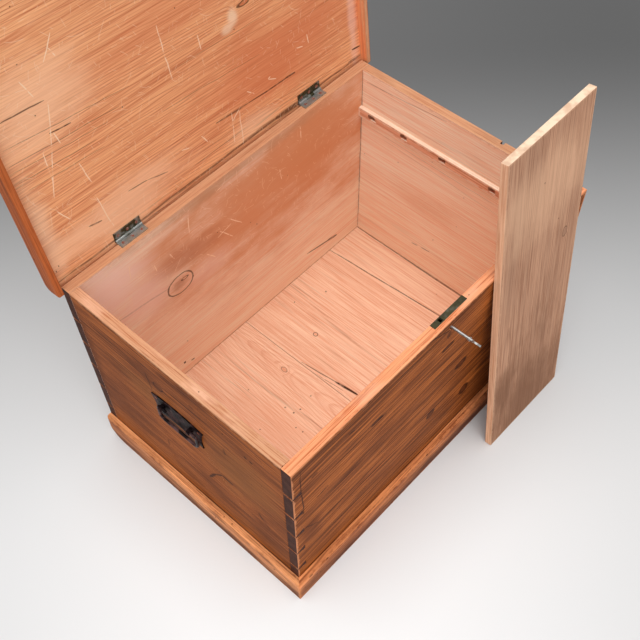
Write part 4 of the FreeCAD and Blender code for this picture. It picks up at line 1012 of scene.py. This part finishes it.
class CHEST_OT_handles(bpy.types.Operator):
    """Finish the handles"""
    bl_idname = "chest.handles"
    bl_label = "Handles"

    def execute(self, context):
        # The pale rubbed patches on the plates and bails are partly wear and partly painted highlights.
        metal("blackened handle iron", ["handle_plate_left", "handle_plate_right"], "iron", "iron", 75.0,
              0.0, 0.34, 0.25, "iron_worn_and_sheen", 0.22, relief=0.8, shine_level=0.03)
        metal("rubbed bail iron with painted highlights", ["handle_bail_left", "handle_bail_right"], "iron", "iron", 75.0,
              0.0, 0.3, 0.25, "iron_worn_and_sheen", 0.5, relief=0.8, shine_level=0.15)
        return {"FINISHED"}


def lamp(name, place, aim, strength, spread):
    """A soft sun. spread is how wide it is in the sky, in degrees."""
    data = bpy.data.lights.new(name, "SUN")
    data.energy, data.angle = strength, math.radians(spread)
    made = bpy.data.objects.new(name, data)
    made.location = place
    made.rotation_mode = "QUATERNION"
    made.rotation_quaternion = (Vector(aim) - Vector(place)).to_track_quat("-Z", "Y")
    bpy.context.scene.collection.objects.link(made)


SENSOR_WIDTH = 36.0  # in mm, as the lens is
FLOOR_HALF = 14.0  # half the width of the studio floor, in metres
UNDER = 0.1 * MM  # how far the studio floor lies below the chest
PALE_OFF = 0.07  # how far the floor's pale middle lies from the chest's own middle, in metres


class CHEST_OT_stage(bpy.types.Operator):
    """Set up the camera, the lamps and the floor"""
    bl_idname = "chest.stage"
    bl_label = "Setting"

    def execute(self, context):
        scene, setting = context.scene, context.scene.chest_setting
        self.make_camera(scene, setting)
        self.make_floor(scene, setting)
        lamp("overhead", (-0.15, 0.05, 3.0), (0, 0, 0), setting.overhead, 50)
        lamp("front fill", (-1.4, -1.6, 1.9), (0, 0, 0.3), setting.fill, 70)
        scene.world = bpy.data.worlds.new("room")
        scene.world.use_nodes = True
        room = scene.world.node_tree.nodes["Background"].inputs
        room["Color"].default_value = (1, 1, 1, 1)
        room["Strength"].default_value = setting.room
        scene.view_settings.view_transform = "Standard"
        return {"FINISHED"}

    def make_camera(self, scene, setting):
        data = bpy.data.cameras.new("camera")
        data.sensor_fit, data.sensor_width = "HORIZONTAL", SENSOR_WIDTH
        data.lens = setting.lens
        data.shift_x, data.shift_y = setting.shift_across, setting.shift_up
        data.clip_start, data.clip_end = 0.05, 60.0
        made = bpy.data.objects.new("camera", data)
        turn, drop, roll = setting.camera_heading, setting.camera_drop, setting.camera_roll
        ahead = Vector((math.sin(turn) * math.cos(drop), math.cos(turn) * math.cos(drop),
                        -math.sin(drop)))
        right = ahead.cross(Vector(Z)).normalized()
        up = right.cross(ahead)
        leaned = right * math.cos(roll) + up * math.sin(roll)
        raised = up * math.cos(roll) - right * math.sin(roll)
        made.matrix_world = Matrix.Translation(setting.camera_place) @ Matrix(
            (leaned, raised, -ahead)).transposed().to_4x4()
        scene.collection.objects.link(made)
        scene.camera = made

    def make_floor(self, scene, setting):
        """A floor painted with the fall-off of light: pale near the camera and greyer behind the chest and
        to the sides.
        """
        mesh = bpy.data.meshes.new("studio floor")
        corners = [(x * FLOOR_HALF, y * FLOOR_HALF, 0) for x, y in ((-1, -1), (1, -1), (1, 1), (-1, 1))]
        mesh.from_pydata(corners, [], [(0, 1, 2, 3)])
        made = bpy.data.objects.new("studio_floor", mesh)
        made.location = (0, 0, CAD_BOX[0][2] - UNDER)
        scene.collection.objects.link(made)
        material, shader, seen = new_material("studio floor")
        place = seen["Object"]
        way = Vector((math.sin(setting.camera_heading), math.cos(setting.camera_heading), 0))
        along = vectors("DOT_PRODUCT", place, way)
        beside = vectors("DOT_PRODUCT", place, Vector((way.y, -way.x, 0)))
        beside = unsigned(maths("ADD", beside, PALE_OFF))
        # The floor's colour fades from pale to grey away from the camera and darkens to the sides: painted
        # light fall-off.
        tone = blend(ease(along, -0.46, 1.2), setting.near_floor, setting.far_floor)
        edge = slope(ease(beside, 0.0, 1.0), -0.25, 1.0)
        tone = blend(1.0, tone, joined(edge, edge, edge), "MULTIPLY")
        put(shader["Base Color"], tone)
        cloud = noise(place, 3.0, detail=3.0)
        put(shader["Roughness"], slope(cloud, 0.1, 0.75))
        shader["Specular IOR Level"].default_value = 0.1
        mesh.materials.append(material)


STEPS = (CHEST_OT_groups, CHEST_OT_stage, CHEST_OT_walls, CHEST_OT_floor_boards,
         CHEST_OT_plinth, CHEST_OT_cleats, CHEST_OT_lid, CHEST_OT_lid_moulding,
         CHEST_OT_shelf_board, CHEST_OT_hinges, CHEST_OT_lock, CHEST_OT_key, CHEST_OT_handles)
FIELDS = (ChestColours, ChestWear, ChestSetting)


class CHEST_PT_panel(bpy.types.Panel):
    """Lists the chest's steps and fields"""
    bl_idname = "CHEST_PT_panel"
    bl_label = "Carriage chest"
    bl_space_type = "VIEW_3D"
    bl_region_type = "UI"
    bl_category = "Chest"

    def draw(self, context):
        for step in STEPS:
            self.layout.operator(step.bl_idname)
        for fields in (context.scene.chest_colours, context.scene.chest_wear,
                       context.scene.chest_setting):
            column = self.layout.box().column()
            for name in fields.bl_rna.properties.keys():
                if name not in ("rna_type", "name"):
                    column.prop(fields, name)


def register():
    for made in (*FIELDS, *STEPS, CHEST_PT_panel):
        bpy.utils.register_class(made)
    bpy.types.Scene.chest_colours = bpy.props.PointerProperty(type=ChestColours)
    bpy.types.Scene.chest_wear = bpy.props.PointerProperty(type=ChestWear)
    bpy.types.Scene.chest_setting = bpy.props.PointerProperty(type=ChestSetting)


def unregister():
    for name in ("chest_colours", "chest_wear", "chest_setting"):
        delattr(bpy.types.Scene, name)
    for made in reversed((*FIELDS, *STEPS, CHEST_PT_panel)):
        bpy.utils.unregister_class(made)


def main():
    register()
    for step in STEPS:
        area, name = step.bl_idname.split(".")
        getattr(getattr(bpy.ops, area), name)()


if __name__ == "__main__":
    main()
